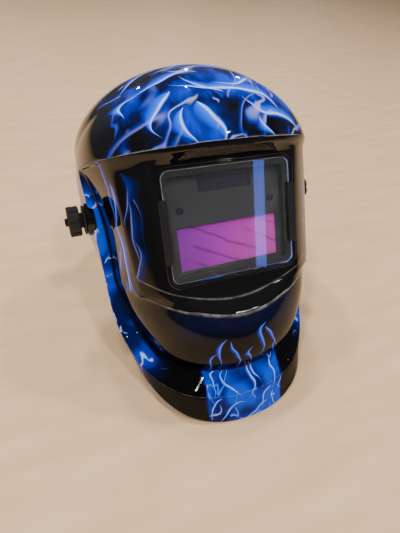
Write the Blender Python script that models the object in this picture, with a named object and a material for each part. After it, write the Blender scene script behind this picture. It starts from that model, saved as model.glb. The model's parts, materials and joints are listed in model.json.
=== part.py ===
"""Auto-darkening welding helmet: moulded shell, filter cartridge, pivots and ratchet headgear.

The design frame has its origin at the centre of the cover lens, +X to the right seen from the
front, +Y back into the helmet and +Z up along the window.  The whole helmet then leans back
until the chin edge and the rear knob stand on one floor.
"""
import math

import bmesh
import bpy
import numpy as np
from mathutils import Matrix, Vector

MM = 0.001
GAP = 0.3 * MM                      # between pieces that touch

# Shell, overall
SHELL_WIDTH = 215.0 * MM            # across the ear walls
DOME_DEPTH = 110.0 * MM             # ear line to brow
DOME_RISE = 84.5 * MM               # ear line to crown
EAR_Y = 95.0 * MM
EAR_Z = 50.0 * MM
CHIN_DROP = 187.5 * MM              # lens centre to the chin edge
WALL = 2.4 * MM
REAR_ANGLE = math.radians(108.0)    # where the dome ends, measured up from the front
BROW_ANGLE = math.radians(8.0)

# The side strip runs down the side wall, under the chin and up the other side.  Its stations
# are 0 at the brow, 6 at the end of the lip and 12 at the middle of the chin.
LIP_STATION = 6
CHIN_STATION = 12
SHELL_KEYS_MM = {
    "belly": ((98.0, 44, 56), (96.5, 45, 50), (92.5, 46, 31), (91.0, 46, 10), (90.0, 43, -11),
              (90.5, 42, -32), (90.5, 38, -50), (89.5, 33, -67), (85, 16, -82), (73, 0, -100),
              (58, -9, -112), (33, -18, -118), (0, -22, -118)),
    "crease": ((106.4, 76, 53), (103.2, 76, 49), (97.6, 74, 31), (93.2, 71, 10), (91.8, 71, -11),
               (92.3, 72, -33), (92.3, 66, -50), (89, 62, -69), (83, 57, -88), (76, 49, -106),
               (66, 33, -122), (42, 15, -133.5), (0, 3, -136)),
    "ridge": ((106.8, 80, 52), (107.0, 80, 48), (105.7, 77, 31), (104.2, 72.5, 10), (103, 73.5, -12),
              (101.8, 73, -34), (101.9, 67, -53), (101.4, 62, -75), (98.3, 57, -96), (92.3, 48, -114),
              (79, 30, -138), (50, 6, -154), (0, -3, -160)),
    "rim": ((107.5, 107, 50), (108.2, 107.2, 46), (108.6, 107, 30), (108.2, 107, 9), (105, 106.5, -14),
            (101, 105, -37), (98.5, 100, -60), (97, 90, -84), (94.5, 76, -106), (89, 60, -128),
            (80, 36, -151), (55, 9, -175), (0, 0, -193)),
}
KEY_WIDTH = 215.0 * MM              # the shell width and chin drop that the keys were drawn for
KEY_DROP = 187.5 * MM
EDGE_X = 86.5 * MM                  # corner between window surround and side wall
EDGE_Y = 22.0 * MM
LIP_END = (80.0 * MM, 14.3 * MM, -50.0 * MM)
LIP_MIDDLE = (0.0, -13.5 * MM, -77.0 * MM)
LEDGE_Z = -63.0 * MM
SIDE_TURNS = (49.9, 56.1, 62.3, 68.4, 74.6, 80.8, 81.6, 82.4, 84.9, 87.5, 90.0)
DOME_ROWS = 14
FRAME_COLUMNS = 6
SURROUND_COLUMNS = 3

# Window and cover lens
LENS_WIDTH = 110.0 * MM
LENS_HEIGHT = 90.0 * MM
LENS_THICK = 1.0 * MM
LENS_CORNER = 6.5 * MM
LENS_PLAY = 0.5 * MM                # round the lens in the shell's opening
FRAME_RIM = 4.5 * MM                # flat rim of the shell round the lens
FRAME_FACE_Y = -0.6 * MM
CLIP_LENGTH = 51.0 * MM
CLIP_WIDTH = 6.6 * MM
CLIP_THICK = 1.6 * MM

# Filter cartridge
CARTRIDGE_Y = 7.5 * MM
CARTRIDGE_DEPTH = 9.0 * MM
CASE_WALL = 1.6 * MM
VIEW_WIDTH = 90.0 * MM
VIEW_HEIGHT = 36.0 * MM
VIEW_Z = -19.1 * MM
SOLAR_WIDTH = 46.0 * MM
SOLAR_HEIGHT = 11.0 * MM
SOLAR_Z = 30.5 * MM
SENSOR_X = 40.7 * MM
SENSOR_Z = 12.4 * MM
SENSOR_RADIUS = 3.0 * MM
CARRIER_WALL = 3.6 * MM
CARRIER_SEAT = 5.0 * MM             # how far the carrier's window is smaller than the lens
RETAINER_THICK = 2.0 * MM
SCREW_RADIUS = 1.5 * MM
DIAL_RADIUS = 8.0 * MM
DIAL_THICK = 5.0 * MM

# Pivots
PIVOT_Y = 85.0 * MM
PIVOT_Z = 8.0 * MM
BOLT_RADIUS = 4.0 * MM
BOSS_RADIUS = 15.0 * MM
BOSS_FACE_X = 108.0 * MM
BOSS_DEPTH = 7.5 * MM
WASHER_RADIUS = 13.5 * MM
NECK_RADIUS = 7.0 * MM               # of the knob where it meets the washer
SPACER_RADIUS = 8.5 * MM
WASHER_THICK = 2.2 * MM
KNOB_RADIUS = 14.0 * MM
KNOB_THICK = 10.5 * MM
KNOB_NECK = 2.4 * MM
KNOB_LOBES = 8
STOP_RADIUS = 20.0 * MM             # stop peg to pivot axis
STOP_PEG = 2.0 * MM
PEG_ANGLE = math.radians(62.0)       # where the peg rests, up from straight back
FLIP_RANGE = math.radians(55.0)
PLATE_THICK = 2.5 * MM
SLAB_THICK = 3.0 * MM
SLAB_GAP = 0.9 * MM                 # headband to slab where the band is widest
SLAB_LENGTH = 95.0 * MM
SLAB_HEIGHT = 27.0 * MM
SLAB_SHIFT = 27.0 * MM              # middle of the slab behind the pivot
SLAB_SLOT = 30.0 * MM
PLATE_RADIUS = 26.0 * MM
BOLT_HEAD = 3.0 * MM
BOLT_HEAD_RADIUS = 9.0 * MM

# Headgear
BAND_TILT = math.radians(18.0)
BAND_HALF_LENGTH = 100.0 * MM
BAND_HALF_WIDTH = 78.0 * MM
BAND_CENTRE_Y = 154.0 * MM
BAND_CENTRE_Z = 7.5 * MM
BAND_HEIGHT = 28.0 * MM
BAND_THICK = 1.6 * MM
PAD_THICK = 6.0 * MM
PAD_HEIGHT = 34.0 * MM
STRAP_WIDTH = 18.0 * MM
STRAP_THICK = 1.3 * MM
STRAP_FOOT = (-8.0 * MM, -8.0 * MM)  # back and up from the headband's middle
STRAP_KNEE = (-10.0 * MM, 22.0 * MM)
CROWN_Y = 129.0 * MM
CROWN_Z = 107.5 * MM
CROWN_ARCH = 2.5 * MM                # rise of the straps between CROWN_Z and the middle
BUTTON_RADIUS = 2.6 * MM
BUTTON_HEAD_RADIUS = 5.5 * MM
BUTTON_HEAD = 2.0 * MM
TOOTH_PITCH = 4.0 * MM
PINION_TEETH = 10
RATCHET_KNOB_RADIUS = 20.0 * MM
RATCHET_KNOB_THICK = 14.0 * MM

# The headband's right half seen from above: x, and distance back from the band's middle.
BAND_KEYS = ((0.0, -1.0), (0.385, -0.955), (0.70, -0.80), (0.90, -0.50), (1.0, -0.05), (0.98, 0.38),
             (0.86, 0.70), (0.66, 0.88), (0.49, 0.945))
TAIL_X = 24.0 * MM                  # where the headband's tails end inside the ratchet case
RACK_REACH = 44.0 * MM
RACK_PAST = 14.0 * MM
RACK_THICK = 1.6 * MM
TOOTH_HEIGHT = 2.2 * MM
CASE_STEP = 2.22 * MM                # from the case's end to where the headband starts to bend
CASE_HALF_WIDTH = BAND_KEYS[-1][0] * BAND_HALF_WIDTH - CASE_STEP
CASE_HALF_HEIGHT = 19.0 * MM
AXLE_RADIUS = 4.0 * MM


def clear_scene():
    for obj in list(bpy.data.objects):
        bpy.data.objects.remove(obj, do_unlink=True)


def material(name, colour, roughness, metallic=0.0, alpha=1.0):
    mat = bpy.data.materials.new(name)
    mat.use_nodes = True
    shader = mat.node_tree.nodes["Principled BSDF"]
    shader.inputs["Base Color"].default_value = (*colour, 1.0)
    shader.inputs["Roughness"].default_value = roughness
    shader.inputs["Metallic"].default_value = metallic
    shader.inputs["Alpha"].default_value = alpha
    return mat


def empty(name, parent=None, place=(0.0, 0.0, 0.0), turn=(0.0, 0.0, 0.0)):
    obj = bpy.data.objects.new(name, None)
    bpy.context.collection.objects.link(obj)
    obj.parent = parent
    obj.location = place
    obj.rotation_euler = turn
    return obj


def add_object(name, bm, mat, parent, place=(0.0, 0.0, 0.0), turn=(0.0, 0.0, 0.0), smooth=None):
    """Object from a bmesh; smooth is the angle above which its edges stay sharp."""
    bmesh.ops.remove_doubles(bm, verts=bm.verts, dist=0.00001)
    bmesh.ops.recalc_face_normals(bm, faces=bm.faces)
    mesh = bpy.data.meshes.new(name)
    bm.to_mesh(mesh)
    bm.free()
    if smooth is not None:
        mesh.shade_smooth()
        mesh.set_sharp_from_angle(angle=math.radians(smooth))
    obj = bpy.data.objects.new(name, mesh)
    bpy.context.collection.objects.link(obj)
    if mat is not None:
        mesh.materials.append(mat)
    obj.parent = parent
    obj.location = place
    obj.rotation_euler = turn
    return obj


def cut(obj, cutter, operation="DIFFERENCE"):
    """Boolean with a hidden helper object."""
    cutter.hide_render = True
    cutter.display_type = "WIRE"
    mod = obj.modifiers.new(operation.title() + " " + cutter.name, "BOOLEAN")
    mod.operation = operation
    mod.solver = "EXACT"
    mod.object = cutter
    return mod


def rounded_rectangle(width, height, radius, centre=(0.0, 0.0), steps=4):
    """Corner points, anticlockwise."""
    points = []
    for corner in range(4):
        sx = 1 if corner in (0, 3) else -1
        sy = 1 if corner < 2 else -1
        for step in range(steps + 1):
            angle = math.pi / 2 * (corner + step / steps)
            points.append((centre[0] + sx * (width / 2 - radius) + radius * math.cos(angle),
                           centre[1] + sy * (height / 2 - radius) + radius * math.sin(angle)))
    return points


def circle(radius, centre=(0.0, 0.0), steps=20):
    return [(centre[0] + radius * math.cos(math.tau * k / steps),
             centre[1] + radius * math.sin(math.tau * k / steps)) for k in range(steps)]


def lobed_circle(radius, lobes, depth, steps_per_lobe=4):
    """Knob outline whose notches are depth deep."""
    points = []
    for k in range(lobes * steps_per_lobe):
        swing = abs(math.sin(math.pi * k / steps_per_lobe))
        r = radius - depth * (1 - swing) ** 2
        angle = math.tau * k / (lobes * steps_per_lobe)
        points.append((r * math.cos(angle), r * math.sin(angle)))
    return points


def arc_slot(radius, half_width, start, end, steps=8):
    """Slot of constant width along an arc about the origin."""
    points = []
    for k in range(steps + 1):
        angle = start + (end - start) * k / steps
        points.append(((radius + half_width) * math.cos(angle), (radius + half_width) * math.sin(angle)))
    for k in range(1, 4):
        turn = end + math.pi * k / 4
        points.append((radius * math.cos(end) + half_width * math.cos(turn),
                       radius * math.sin(end) + half_width * math.sin(turn)))
    for k in range(steps + 1):
        angle = end + (start - end) * k / steps
        points.append(((radius - half_width) * math.cos(angle), (radius - half_width) * math.sin(angle)))
    for k in range(1, 4):
        turn = start + math.pi + math.pi * k / 4
        points.append((radius * math.cos(start) + half_width * math.cos(turn),
                       radius * math.sin(start) + half_width * math.sin(turn)))
    return points


def prism(outer, holes, low, high):
    """Flat plate between heights low and high whose outline and holes are point loops."""
    bm = bmesh.new()
    edges = []
    for loop in [outer, *holes]:
        verts = [bm.verts.new((x, y, low)) for x, y in loop]
        edges += [bm.edges.new((verts[k - 1], verts[k])) for k in range(len(verts))]
    bmesh.ops.triangle_fill(bm, use_beauty=True, edges=edges)
    top = bmesh.ops.extrude_face_region(bm, geom=list(bm.faces))["geom"]
    lifted = [item for item in top if isinstance(item, bmesh.types.BMVert)]
    bmesh.ops.translate(bm, verts=lifted, vec=(0.0, 0.0, high - low))
    return bm


def lathe(profile, steps=24):
    """Solid of revolution about Z from a closed loop of (radius, height) points."""
    bm = bmesh.new()
    rings = []
    for radius, height in profile:
        if radius < 1e-7:
            rings.append([bm.verts.new((0.0, 0.0, height))])
        else:
            rings.append([bm.verts.new((radius * math.cos(math.tau * k / steps),
                                        radius * math.sin(math.tau * k / steps), height))
                          for k in range(steps)])
    for i, ring in enumerate(rings):
        other = rings[(i + 1) % len(rings)]
        for k in range(steps):
            corners = [ring[k % len(ring)], ring[(k + 1) % len(ring)],
                       other[(k + 1) % len(other)], other[k % len(other)]]
            unique = list(dict.fromkeys(corners))
            if len(unique) > 2:
                bm.faces.new(unique)
    return bm


def strip(centres, widths, normals, width, thick):
    """Solid band along a path: half its width to each side, its thickness along the normals."""
    bm = bmesh.new()
    rings = []
    for centre, across, normal in zip(centres, widths, normals):
        side = across * (width / 2)
        rise = normal * thick
        rings.append([bm.verts.new(centre + side), bm.verts.new(centre - side),
                      bm.verts.new(centre - side + rise), bm.verts.new(centre + side + rise)])
    for a, b in zip(rings, rings[1:]):
        for k in range(4):
            bm.faces.new((a[k], a[(k + 1) % 4], b[(k + 1) % 4], b[k]))
    bm.faces.new(rings[0])
    bm.faces.new(rings[-1][::-1])
    return bm


def smooth_curve(points, steps):
    """Catmull-Rom curve through the points, with steps spans between neighbours."""
    keys = [np.array(p, dtype=float) for p in points]
    keys = [2 * keys[0] - keys[1], *keys, 2 * keys[-1] - keys[-2]]
    out = []
    for k in range(1, len(keys) - 2):
        a, b, c, d = keys[k - 1:k + 3]
        for s in range(steps):
            t = s / steps
            out.append(0.5 * (2 * b + (c - a) * t + (2 * a - 5 * b + 4 * c - d) * t * t
                              + (3 * b - a - 3 * c + d) * t ** 3))
    out.append(keys[-2])
    return out


def shell_scale():
    return SHELL_WIDTH / KEY_WIDTH, CHIN_DROP / KEY_DROP


def dome_point(rise, turn):
    """Point of the dome: rise is the angle up from the front, turn the angle round to the side."""
    share = (rise - BROW_ANGLE) / (REAR_ANGLE - BROW_ANGLE)
    roundness = 2.68 - 0.68 * min(1.0, share / 0.5)
    front_y = EAR_Y - DOME_DEPTH * math.cos(rise)
    front_z = EAR_Z + DOME_RISE * math.sin(rise)
    side_y = EAR_Y + (12.0 + 5.0 * share) * MM
    side_z = EAR_Z + 13.0 * MM * share
    half_width = SHELL_WIDTH / 2 - 2.2 * MM * share
    ahead = math.cos(turn) ** (2 / roundness) if turn < math.radians(89.9) else 0.0
    return np.array((half_width * math.sin(turn) ** (2 / roundness),
                     side_y + (front_y - side_y) * ahead,
                     side_z + (front_z - side_z) * ahead))


def key_point(name, station):
    """Place on one of the strip's key lines, which cross the middle of the chin level."""
    wide, deep = shell_scale()
    keys = [np.array(p) * MM for p in SHELL_KEYS_MM[name]]
    keys = [2 * keys[0] - keys[1], *keys, keys[-2] * (-1, 1, 1)]
    k = min(int(station), CHIN_STATION - 1)
    t = station - k
    a, b, c, d = keys[k:k + 4]
    point = 0.5 * (2 * b + (c - a) * t + (2 * a - 5 * b + 4 * c - d) * t * t
                   + (3 * b - a - 3 * c + d) * t ** 3)
    return np.array((point[0] * wide, point[1], point[2] * (deep if point[2] < 0 else 1.0)))


def surround_row(z, frame_half):
    """Window surround at height z: flat round the lens, then swept back to the edge."""
    wide, _ = shell_scale()
    drop = min(max((z / MM - 50.0) / -100.0, 0.0), 1.0)
    edge_x = (EDGE_X + (LIP_END[0] - EDGE_X) * drop ** 1.6) * wide
    edge_y = EDGE_Y + (LIP_END[1] - EDGE_Y) * drop ** 1.6
    row = [np.array((frame_half * k / FRAME_COLUMNS, FRAME_FACE_Y, z)) for k in range(FRAME_COLUMNS)]
    for k in range(SURROUND_COLUMNS + 1):
        out = k / SURROUND_COLUMNS
        row.append(np.array((frame_half + (edge_x - frame_half) * out,
                             FRAME_FACE_Y + (edge_y - FRAME_FACE_Y) * out ** 1.25, z)))
    return row


def window_rows(frame_half, frame_top):
    """Half rows of the window patch from the brow crest down to the lip."""
    wide, deep = shell_scale()
    columns = FRAME_COLUMNS + SURROUND_COLUMNS
    brow_x = [SHELL_WIDTH / 2 * math.sin(math.radians(SIDE_TURNS[0])) ** (2 / 2.68) * k / columns
              for k in range(columns + 1)]
    turns = [math.asin((x / (SHELL_WIDTH / 2)) ** 1.34) for x in brow_x]
    top = surround_row(frame_top, frame_half)
    crest = [dome_point(BROW_ANGLE, turn) for turn in turns]
    rows = [crest]
    for share, back, down in ((1 / 3, 0.4, 3.6), (2 / 3, 3.6, 5.9)):
        row = []
        for k, (high, low) in enumerate(zip(crest, top)):
            blend = (k / columns) ** 2
            under = high + np.array((0.0, back * MM, -down * MM))
            row.append(under * (1 - blend) + (high + (low - high) * share) * blend)
        rows.append(row)
    for share in (1.0, 0.92, 0.5, 0.0, -0.5, -0.92, -1.0):
        rows.append(surround_row(frame_top * share, frame_half))
    end_x = LIP_END[0] * wide
    reach = [point[0] for point in rows[-1]]
    ledge = []
    lip = []
    for x in reach:
        out = x / end_x
        past = max(0.0, (x - frame_half) / (end_x - frame_half))
        ledge.append(np.array((x, FRAME_FACE_Y + (LIP_END[1] - FRAME_FACE_Y) * past ** 1.25,
                               LEDGE_Z + (LIP_END[2] - 1.5 * MM - LEDGE_Z) * out ** 2)))
        lip.append(np.array((x, LIP_MIDDLE[1] + (LIP_END[1] - LIP_MIDDLE[1]) * out ** 2.2,
                             LIP_MIDDLE[2] + (LIP_END[2] - 3.0 * MM - LIP_MIDDLE[2]) * out ** 1.6)))
    between = [0.45 * a + 0.55 * b + np.array((0.0, 0.0, 1.0 * MM * (1 - (x / end_x) ** 2)))
               for a, b, x in zip(ledge, lip, reach)]
    return rows + [ledge, between, lip], turns


def strip_section(inner, station):
    """Points across the side strip from its inner edge to the rim."""
    belly = key_point("belly", station)
    crease = key_point("crease", station)
    ridge = key_point("ridge", station)
    rim = key_point("rim", station)
    rim[2] = max(rim[2], -CHIN_DROP)
    points = [inner * (1 - t) ** 2 + belly * 2 * t * (1 - t) + crease * t * t
              for t in (0.0, 0.2, 0.4, 0.6, 0.8, 1.0)]
    points.append((crease + ridge) / 2)
    return points + [ridge + (rim - ridge) * t for t in (0.0, 1 / 3, 2 / 3, 1.0)]


def grid_faces(bm, grid):
    verts = [[bm.verts.new(point) for point in row] for row in grid]
    for a, b in zip(verts, verts[1:]):
        for k in range(len(a) - 1):
            bm.faces.new((a[k], a[k + 1], b[k + 1], b[k]))


def mirrored(row):
    """A half row, middle first, as a whole row from left to right."""
    return [point * (-1, 1, 1) for point in row[:0:-1]] + list(row)


def shell_mesh():
    frame_half = LENS_WIDTH / 2 + FRAME_RIM + LENS_PLAY
    frame_top = LENS_HEIGHT / 2 + FRAME_RIM + LENS_PLAY
    rows, turns = window_rows(frame_half, frame_top)
    turns = turns + [math.radians(turn) for turn in SIDE_TURNS[1:]]
    bm = bmesh.new()
    rises = [REAR_ANGLE + (BROW_ANGLE - REAR_ANGLE) * k / DOME_ROWS for k in range(DOME_ROWS + 1)]
    grid_faces(bm, [mirrored([dome_point(rise, turn) for turn in turns]) for rise in rises])
    grid_faces(bm, [mirrored(row) for row in rows])
    brow = [dome_point(BROW_ANGLE, math.radians(turn)) for turn in SIDE_TURNS]
    half_strip = [brow]
    last = len(rows) - 1
    for k in range(1, last + 1):
        half_strip.append(strip_section(rows[k][-1], station_of_row(rows[k][-1], k, last)))
    columns = len(rows[-1]) - 1
    for k in range(columns - 1, -1, -1):
        station = CHIN_STATION - (CHIN_STATION - LIP_STATION) * (k / columns) ** 1.15
        half_strip.append(strip_section(rows[-1][k], station))
    left = [[point * (-1, 1, 1) for point in section] for section in half_strip]
    grid_faces(bm, half_strip + left[-2::-1])
    return bm


def station_of_row(edge, k, last):
    """Strip station of window row k from the height of its edge point."""
    if k == last:
        return float(LIP_STATION)
    z = edge[2] / MM
    if z > 50.0:
        return (58.5 - z) / 8.5
    return min(1.0 + (50.0 - z) / 20.0, LIP_STATION - 0.1 * (last - k))


def along_y(bm):
    """Stand a plate drawn in x and z up, so that its thickness runs along +Y."""
    for vert in bm.verts:
        vert.co = vert.co.xzy
    return bm


def front_plate(outer, holes, near, far):
    """Plate across the window between depths near and far, outlines given in x and z."""
    return along_y(prism(outer, holes, near, far))


def ear_inner_x(y, z):
    """Inside face of the ear wall at a depth and height, on the right."""
    station = min(1.0 + (50.0 - z / MM) / 20.0, LIP_STATION)
    ridge = key_point("ridge", station)
    rim = key_point("rim", station)
    share = (y - ridge[1]) / (rim[1] - ridge[1])
    return ridge[0] + (rim[0] - ridge[0]) * share - WALL


def build_shell(mats, parent):
    shell = add_object("shell", shell_mesh(), mats["shell"], parent, smooth=32)
    solid = shell.modifiers.new("Wall", "SOLIDIFY")
    solid.thickness = WALL
    solid.offset = -1.0
    solid.use_even_offset = True
    solid.thickness_clamp = 1.0
    bore_radius = BOLT_RADIUS + GAP
    for side, sign in (("left", -1), ("right", 1)):
        turn = (0.0, math.pi / 2 * sign, 0.0)
        place = (sign * (BOSS_FACE_X - BOSS_DEPTH) * shell_scale()[0], PIVOT_Y, PIVOT_Z)
        boss = lathe([(0.0, 0.0), (BOSS_RADIUS, 0.0), (BOSS_RADIUS, BOSS_DEPTH), (0.0, BOSS_DEPTH)], 28)
        bore = lathe([(0.0, -BOSS_DEPTH), (bore_radius, -BOSS_DEPTH), (bore_radius, 2 * BOSS_DEPTH),
                      (0.0, 2 * BOSS_DEPTH)], 16)
        cut(shell, add_object("boss guide " + side, boss, None, parent, place, turn), "UNION")
        cut(shell, add_object("bore cutter " + side, bore, None, parent, place, turn))
    opening = rounded_rectangle(LENS_WIDTH + 2 * LENS_PLAY, LENS_HEIGHT + 2 * LENS_PLAY,
                                LENS_CORNER + LENS_PLAY)
    window = add_object("window cutter", front_plate(opening, [], -20 * MM, 20 * MM), None, parent)
    cut(shell, window)
    return shell


def build_window(mats, parent):
    """Cover lens, its clips, and the carrier that holds lens and cartridge."""
    lens = rounded_rectangle(LENS_WIDTH, LENS_HEIGHT, LENS_CORNER)
    add_object("cover_lens_outer", front_plate(lens, [], 0.0, LENS_THICK), mats["clear"], parent)
    clip_x = LENS_WIDTH / 2 + 1.1 * MM
    for side, sign in (("left", -1), ("right", 1)):
        outline = rounded_rectangle(CLIP_WIDTH, CLIP_LENGTH, 1.5 * MM, (sign * clip_x, -1.5 * MM), 2)
        clip = add_object("lens_clip_" + side, front_plate(outline, [], FRAME_FACE_Y - GAP - CLIP_THICK,
                                                           FRAME_FACE_Y - GAP), mats["trim"], parent)
        bevel = clip.modifiers.new("Edge", "BEVEL")
        bevel.width = 0.4 * MM
        bevel.segments = 1
    wall_back = FRAME_FACE_Y + WALL + GAP
    seat_y = LENS_THICK + GAP
    cart_w = LENS_WIDTH + 2 * GAP
    cart_h = LENS_HEIGHT + 2 * GAP
    outer_w = cart_w + 2 * CARRIER_WALL
    outer_h = cart_h + 2 * CARRIER_WALL
    view = rounded_rectangle(LENS_WIDTH - 2 * CARRIER_SEAT, LENS_HEIGHT - 2 * CARRIER_SEAT, 4 * MM)
    carrier_back = CARTRIDGE_Y + CARTRIDGE_DEPTH + 1.0 * MM
    outline = rounded_rectangle(outer_w, outer_h, 5 * MM)
    carrier = add_object("lens_carrier", front_plate(outline, [view], wall_back, carrier_back),
                         mats["trim"], parent)
    seat = rounded_rectangle(LENS_WIDTH - 1.0 * MM, LENS_HEIGHT - 1.0 * MM, 5 * MM)
    cut(carrier, add_object("seat guide", front_plate(seat, [view], seat_y, wall_back + 1.0 * MM), None,
                            parent), "UNION")
    tray = rounded_rectangle(cart_w, cart_h, 2.5 * MM)
    cut(carrier, add_object("tray cutter", front_plate(tray, [], CARTRIDGE_Y - GAP, 40 * MM), None, parent))
    lug_x = outer_w / 2 + 1.0 * MM
    lug_z = 30 * MM
    lugs = [(sx * lug_x, sz * lug_z) for sx in (-1, 1) for sz in (-1, 1)]
    for k, (x, z) in enumerate(lugs):
        lug = front_plate(circle(4.2 * MM, (x, z), 16), [], carrier_back - 6 * MM, carrier_back)
        cut(carrier, add_object(f"lug {k}", lug, None, parent), "UNION")
        hole = front_plate(circle(SCREW_RADIUS + GAP, (x, z), 12), [], carrier_back - 5 * MM, 40 * MM)
        cut(carrier, add_object(f"lug hole {k}", hole, None, parent))
    frame_y = carrier_back + GAP
    frame_far = frame_y + RETAINER_THICK
    inside = rounded_rectangle(LENS_WIDTH - 6 * MM, LENS_HEIGHT - 6 * MM, 5 * MM)
    retainer = add_object("cartridge_retainer", front_plate(outline, [inside], frame_y, frame_far),
                          mats["trim"], parent)
    for k, (x, z) in enumerate(lugs):
        ear = front_plate(circle(4.2 * MM, (x, z), 16), [], frame_y, frame_far)
        cut(retainer, add_object(f"ear {k}", ear, None, parent), "UNION")
        hole = front_plate(circle(SCREW_RADIUS + GAP, (x, z), 12), [], 0.0, 40 * MM)
        cut(retainer, add_object(f"ear hole {k}", hole, None, parent))
        head = 3.0 * MM
        screw = lathe([(0.0, -4.5 * MM), (SCREW_RADIUS, -4.5 * MM), (SCREW_RADIUS, RETAINER_THICK + GAP),
                       (head, RETAINER_THICK + GAP), (head * 0.9, RETAINER_THICK + 2.0 * MM),
                       (0.0, RETAINER_THICK + 2.2 * MM)], 12)
        add_object(f"retainer_screw_{k + 1}", screw, mats["steel"], parent, (x, frame_y, z),
                   (-math.pi / 2, 0.0, 0.0), smooth=40)


def build_cartridge(mats, parent):
    """Auto-darkening cartridge between the carrier and the inner cover lens."""
    front = CARTRIDGE_Y
    split = front + 4.5 * MM
    back = front + CARTRIDGE_DEPTH
    width = LENS_WIDTH - 0.4 * MM
    height = LENS_HEIGHT - 0.4 * MM
    outline = rounded_rectangle(width, height, 2 * MM, steps=3)
    view = rounded_rectangle(VIEW_WIDTH, VIEW_HEIGHT, 1.0 * MM, (0.0, VIEW_Z), 2)
    solar = rounded_rectangle(SOLAR_WIDTH, SOLAR_HEIGHT, 0.8 * MM, (0.0, SOLAR_Z), 2)
    eyes = [circle(SENSOR_RADIUS + GAP, (sign * SENSOR_X, SENSOR_Z), 16) for sign in (-1, 1)]
    face = add_object("filter_case_front", front_plate(outline, [view, solar, *eyes], front, split),
                      mats["case"], parent)
    room_w = width - 2 * CASE_WALL
    room_h = height - 2 * CASE_WALL
    room = rounded_rectangle(room_w, room_h, 1.5 * MM, steps=2)
    cut(face, add_object("front room", front_plate(room, [], front + CASE_WALL, split + 1 * MM), None,
                         parent))
    holes = [circle(2.0 * MM, (x, SOLAR_Z - 6 * MM), 12) for x in (-34 * MM, 0.0, 34 * MM)]
    rear = add_object("filter_case_rear", front_plate(outline, [view, *holes], split + GAP, back),
                      mats["case"], parent)
    cut(rear, add_object("rear room", front_plate(room, [], split, back - CASE_WALL), None, parent))
    glass_w = VIEW_WIDTH + 6 * MM
    glass_h = VIEW_HEIGHT + 6 * MM
    glass = rounded_rectangle(glass_w, glass_h, 0.8 * MM, (0.0, VIEW_Z), 1)
    add_object("filter_glass", front_plate(glass, [], front + CASE_WALL + GAP, back - CASE_WALL - GAP),
               mats["filter"], parent)
    cell = rounded_rectangle(SOLAR_WIDTH + 4 * MM, SOLAR_HEIGHT + 4 * MM, 0.8 * MM, (0.0, SOLAR_Z), 1)
    add_object("solar_cell", front_plate(cell, [], front + CASE_WALL + GAP, front + CASE_WALL + 1.2 * MM),
               mats["solar"], parent)
    for side, sign in (("left", -1), ("right", 1)):
        eye = lathe([(0.0, 0.0), (SENSOR_RADIUS, 0.0), (SENSOR_RADIUS, 2.4 * MM),
                     (SENSOR_RADIUS * 0.7, 3.0 * MM), (0.0, 3.2 * MM)], 16)
        add_object("arc_sensor_" + side, eye, mats["sensor"], parent,
                   (sign * SENSOR_X, front + 3.4 * MM, SENSOR_Z), (math.pi / 2, 0.0, 0.0), smooth=40)
    board_y = front + 4.0 * MM
    board_low = VIEW_Z + glass_h / 2 + 1.0 * MM
    board_high = height / 2 - CASE_WALL - 1.0 * MM
    board = rounded_rectangle(room_w - 1.0 * MM, board_high - board_low, 1.0 * MM,
                              (0.0, (board_low + board_high) / 2), 2)
    shafts = [circle(2.4 * MM, (x, SOLAR_Z - 6 * MM), 12) for x in (-34 * MM, 0.0, 34 * MM)]
    add_object("circuit_board", front_plate(board, shafts, board_y, board_y + 1.0 * MM), mats["board"],
               parent)
    for side, sign in (("left", -1), ("right", 1)):
        coin = lathe([(0.0, 0.0), (8.0 * MM, 0.0), (8.0 * MM, 1.8 * MM), (0.0, 1.8 * MM)], 20)
        add_object("coin_cell_" + side, coin, mats["steel"], parent,
                   (sign * 17 * MM, board_y + 1.0 * MM + GAP, SOLAR_Z - 6 * MM), (-math.pi / 2, 0.0, 0.0))
    lens_w = VIEW_WIDTH + 10 * MM
    inner = rounded_rectangle(lens_w, VIEW_HEIGHT + 9 * MM, 3 * MM, (0.0, VIEW_Z), 3)
    add_object("cover_lens_inner", front_plate(inner, [], back + GAP, back + 1.0 * MM), mats["clear"],
               parent)
    for name, x in (("shade_dial", -34 * MM), ("sensitivity_dial", 0.0), ("delay_dial", 34 * MM)):
        dial = prism(lobed_circle(DIAL_RADIUS, 12, 0.6 * MM, 3), [], GAP, DIAL_THICK)
        knob = add_object(name, dial, mats["trim"], parent, (x, back, SOLAR_Z - 6 * MM),
                          (-math.pi / 2, 0.0, 0.0))
        shaft = lathe([(0.0, -4.4 * MM), (1.6 * MM, -4.4 * MM), (1.6 * MM, 1.0 * MM), (0.0, 1.0 * MM)], 12)
        cut(knob, add_object(name + " shaft", shaft, None, parent, (x, back, SOLAR_Z - 6 * MM),
                             (-math.pi / 2, 0.0, 0.0)), "UNION")


def turned_outline(points, angle):
    return [(x * math.cos(angle) - y * math.sin(angle), x * math.sin(angle) + y * math.cos(angle))
            for x, y in points]


def add_side_plate(name, bm, x, sign, mat, parent, seat):
    """Plate drawn in y and z about the seat, standing at x on one side."""
    for vert in bm.verts:
        vert.co = (sign * (x + vert.co.z), vert.co.x, vert.co.y)
    return add_object(name, bm, mat, parent, seat)


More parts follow.
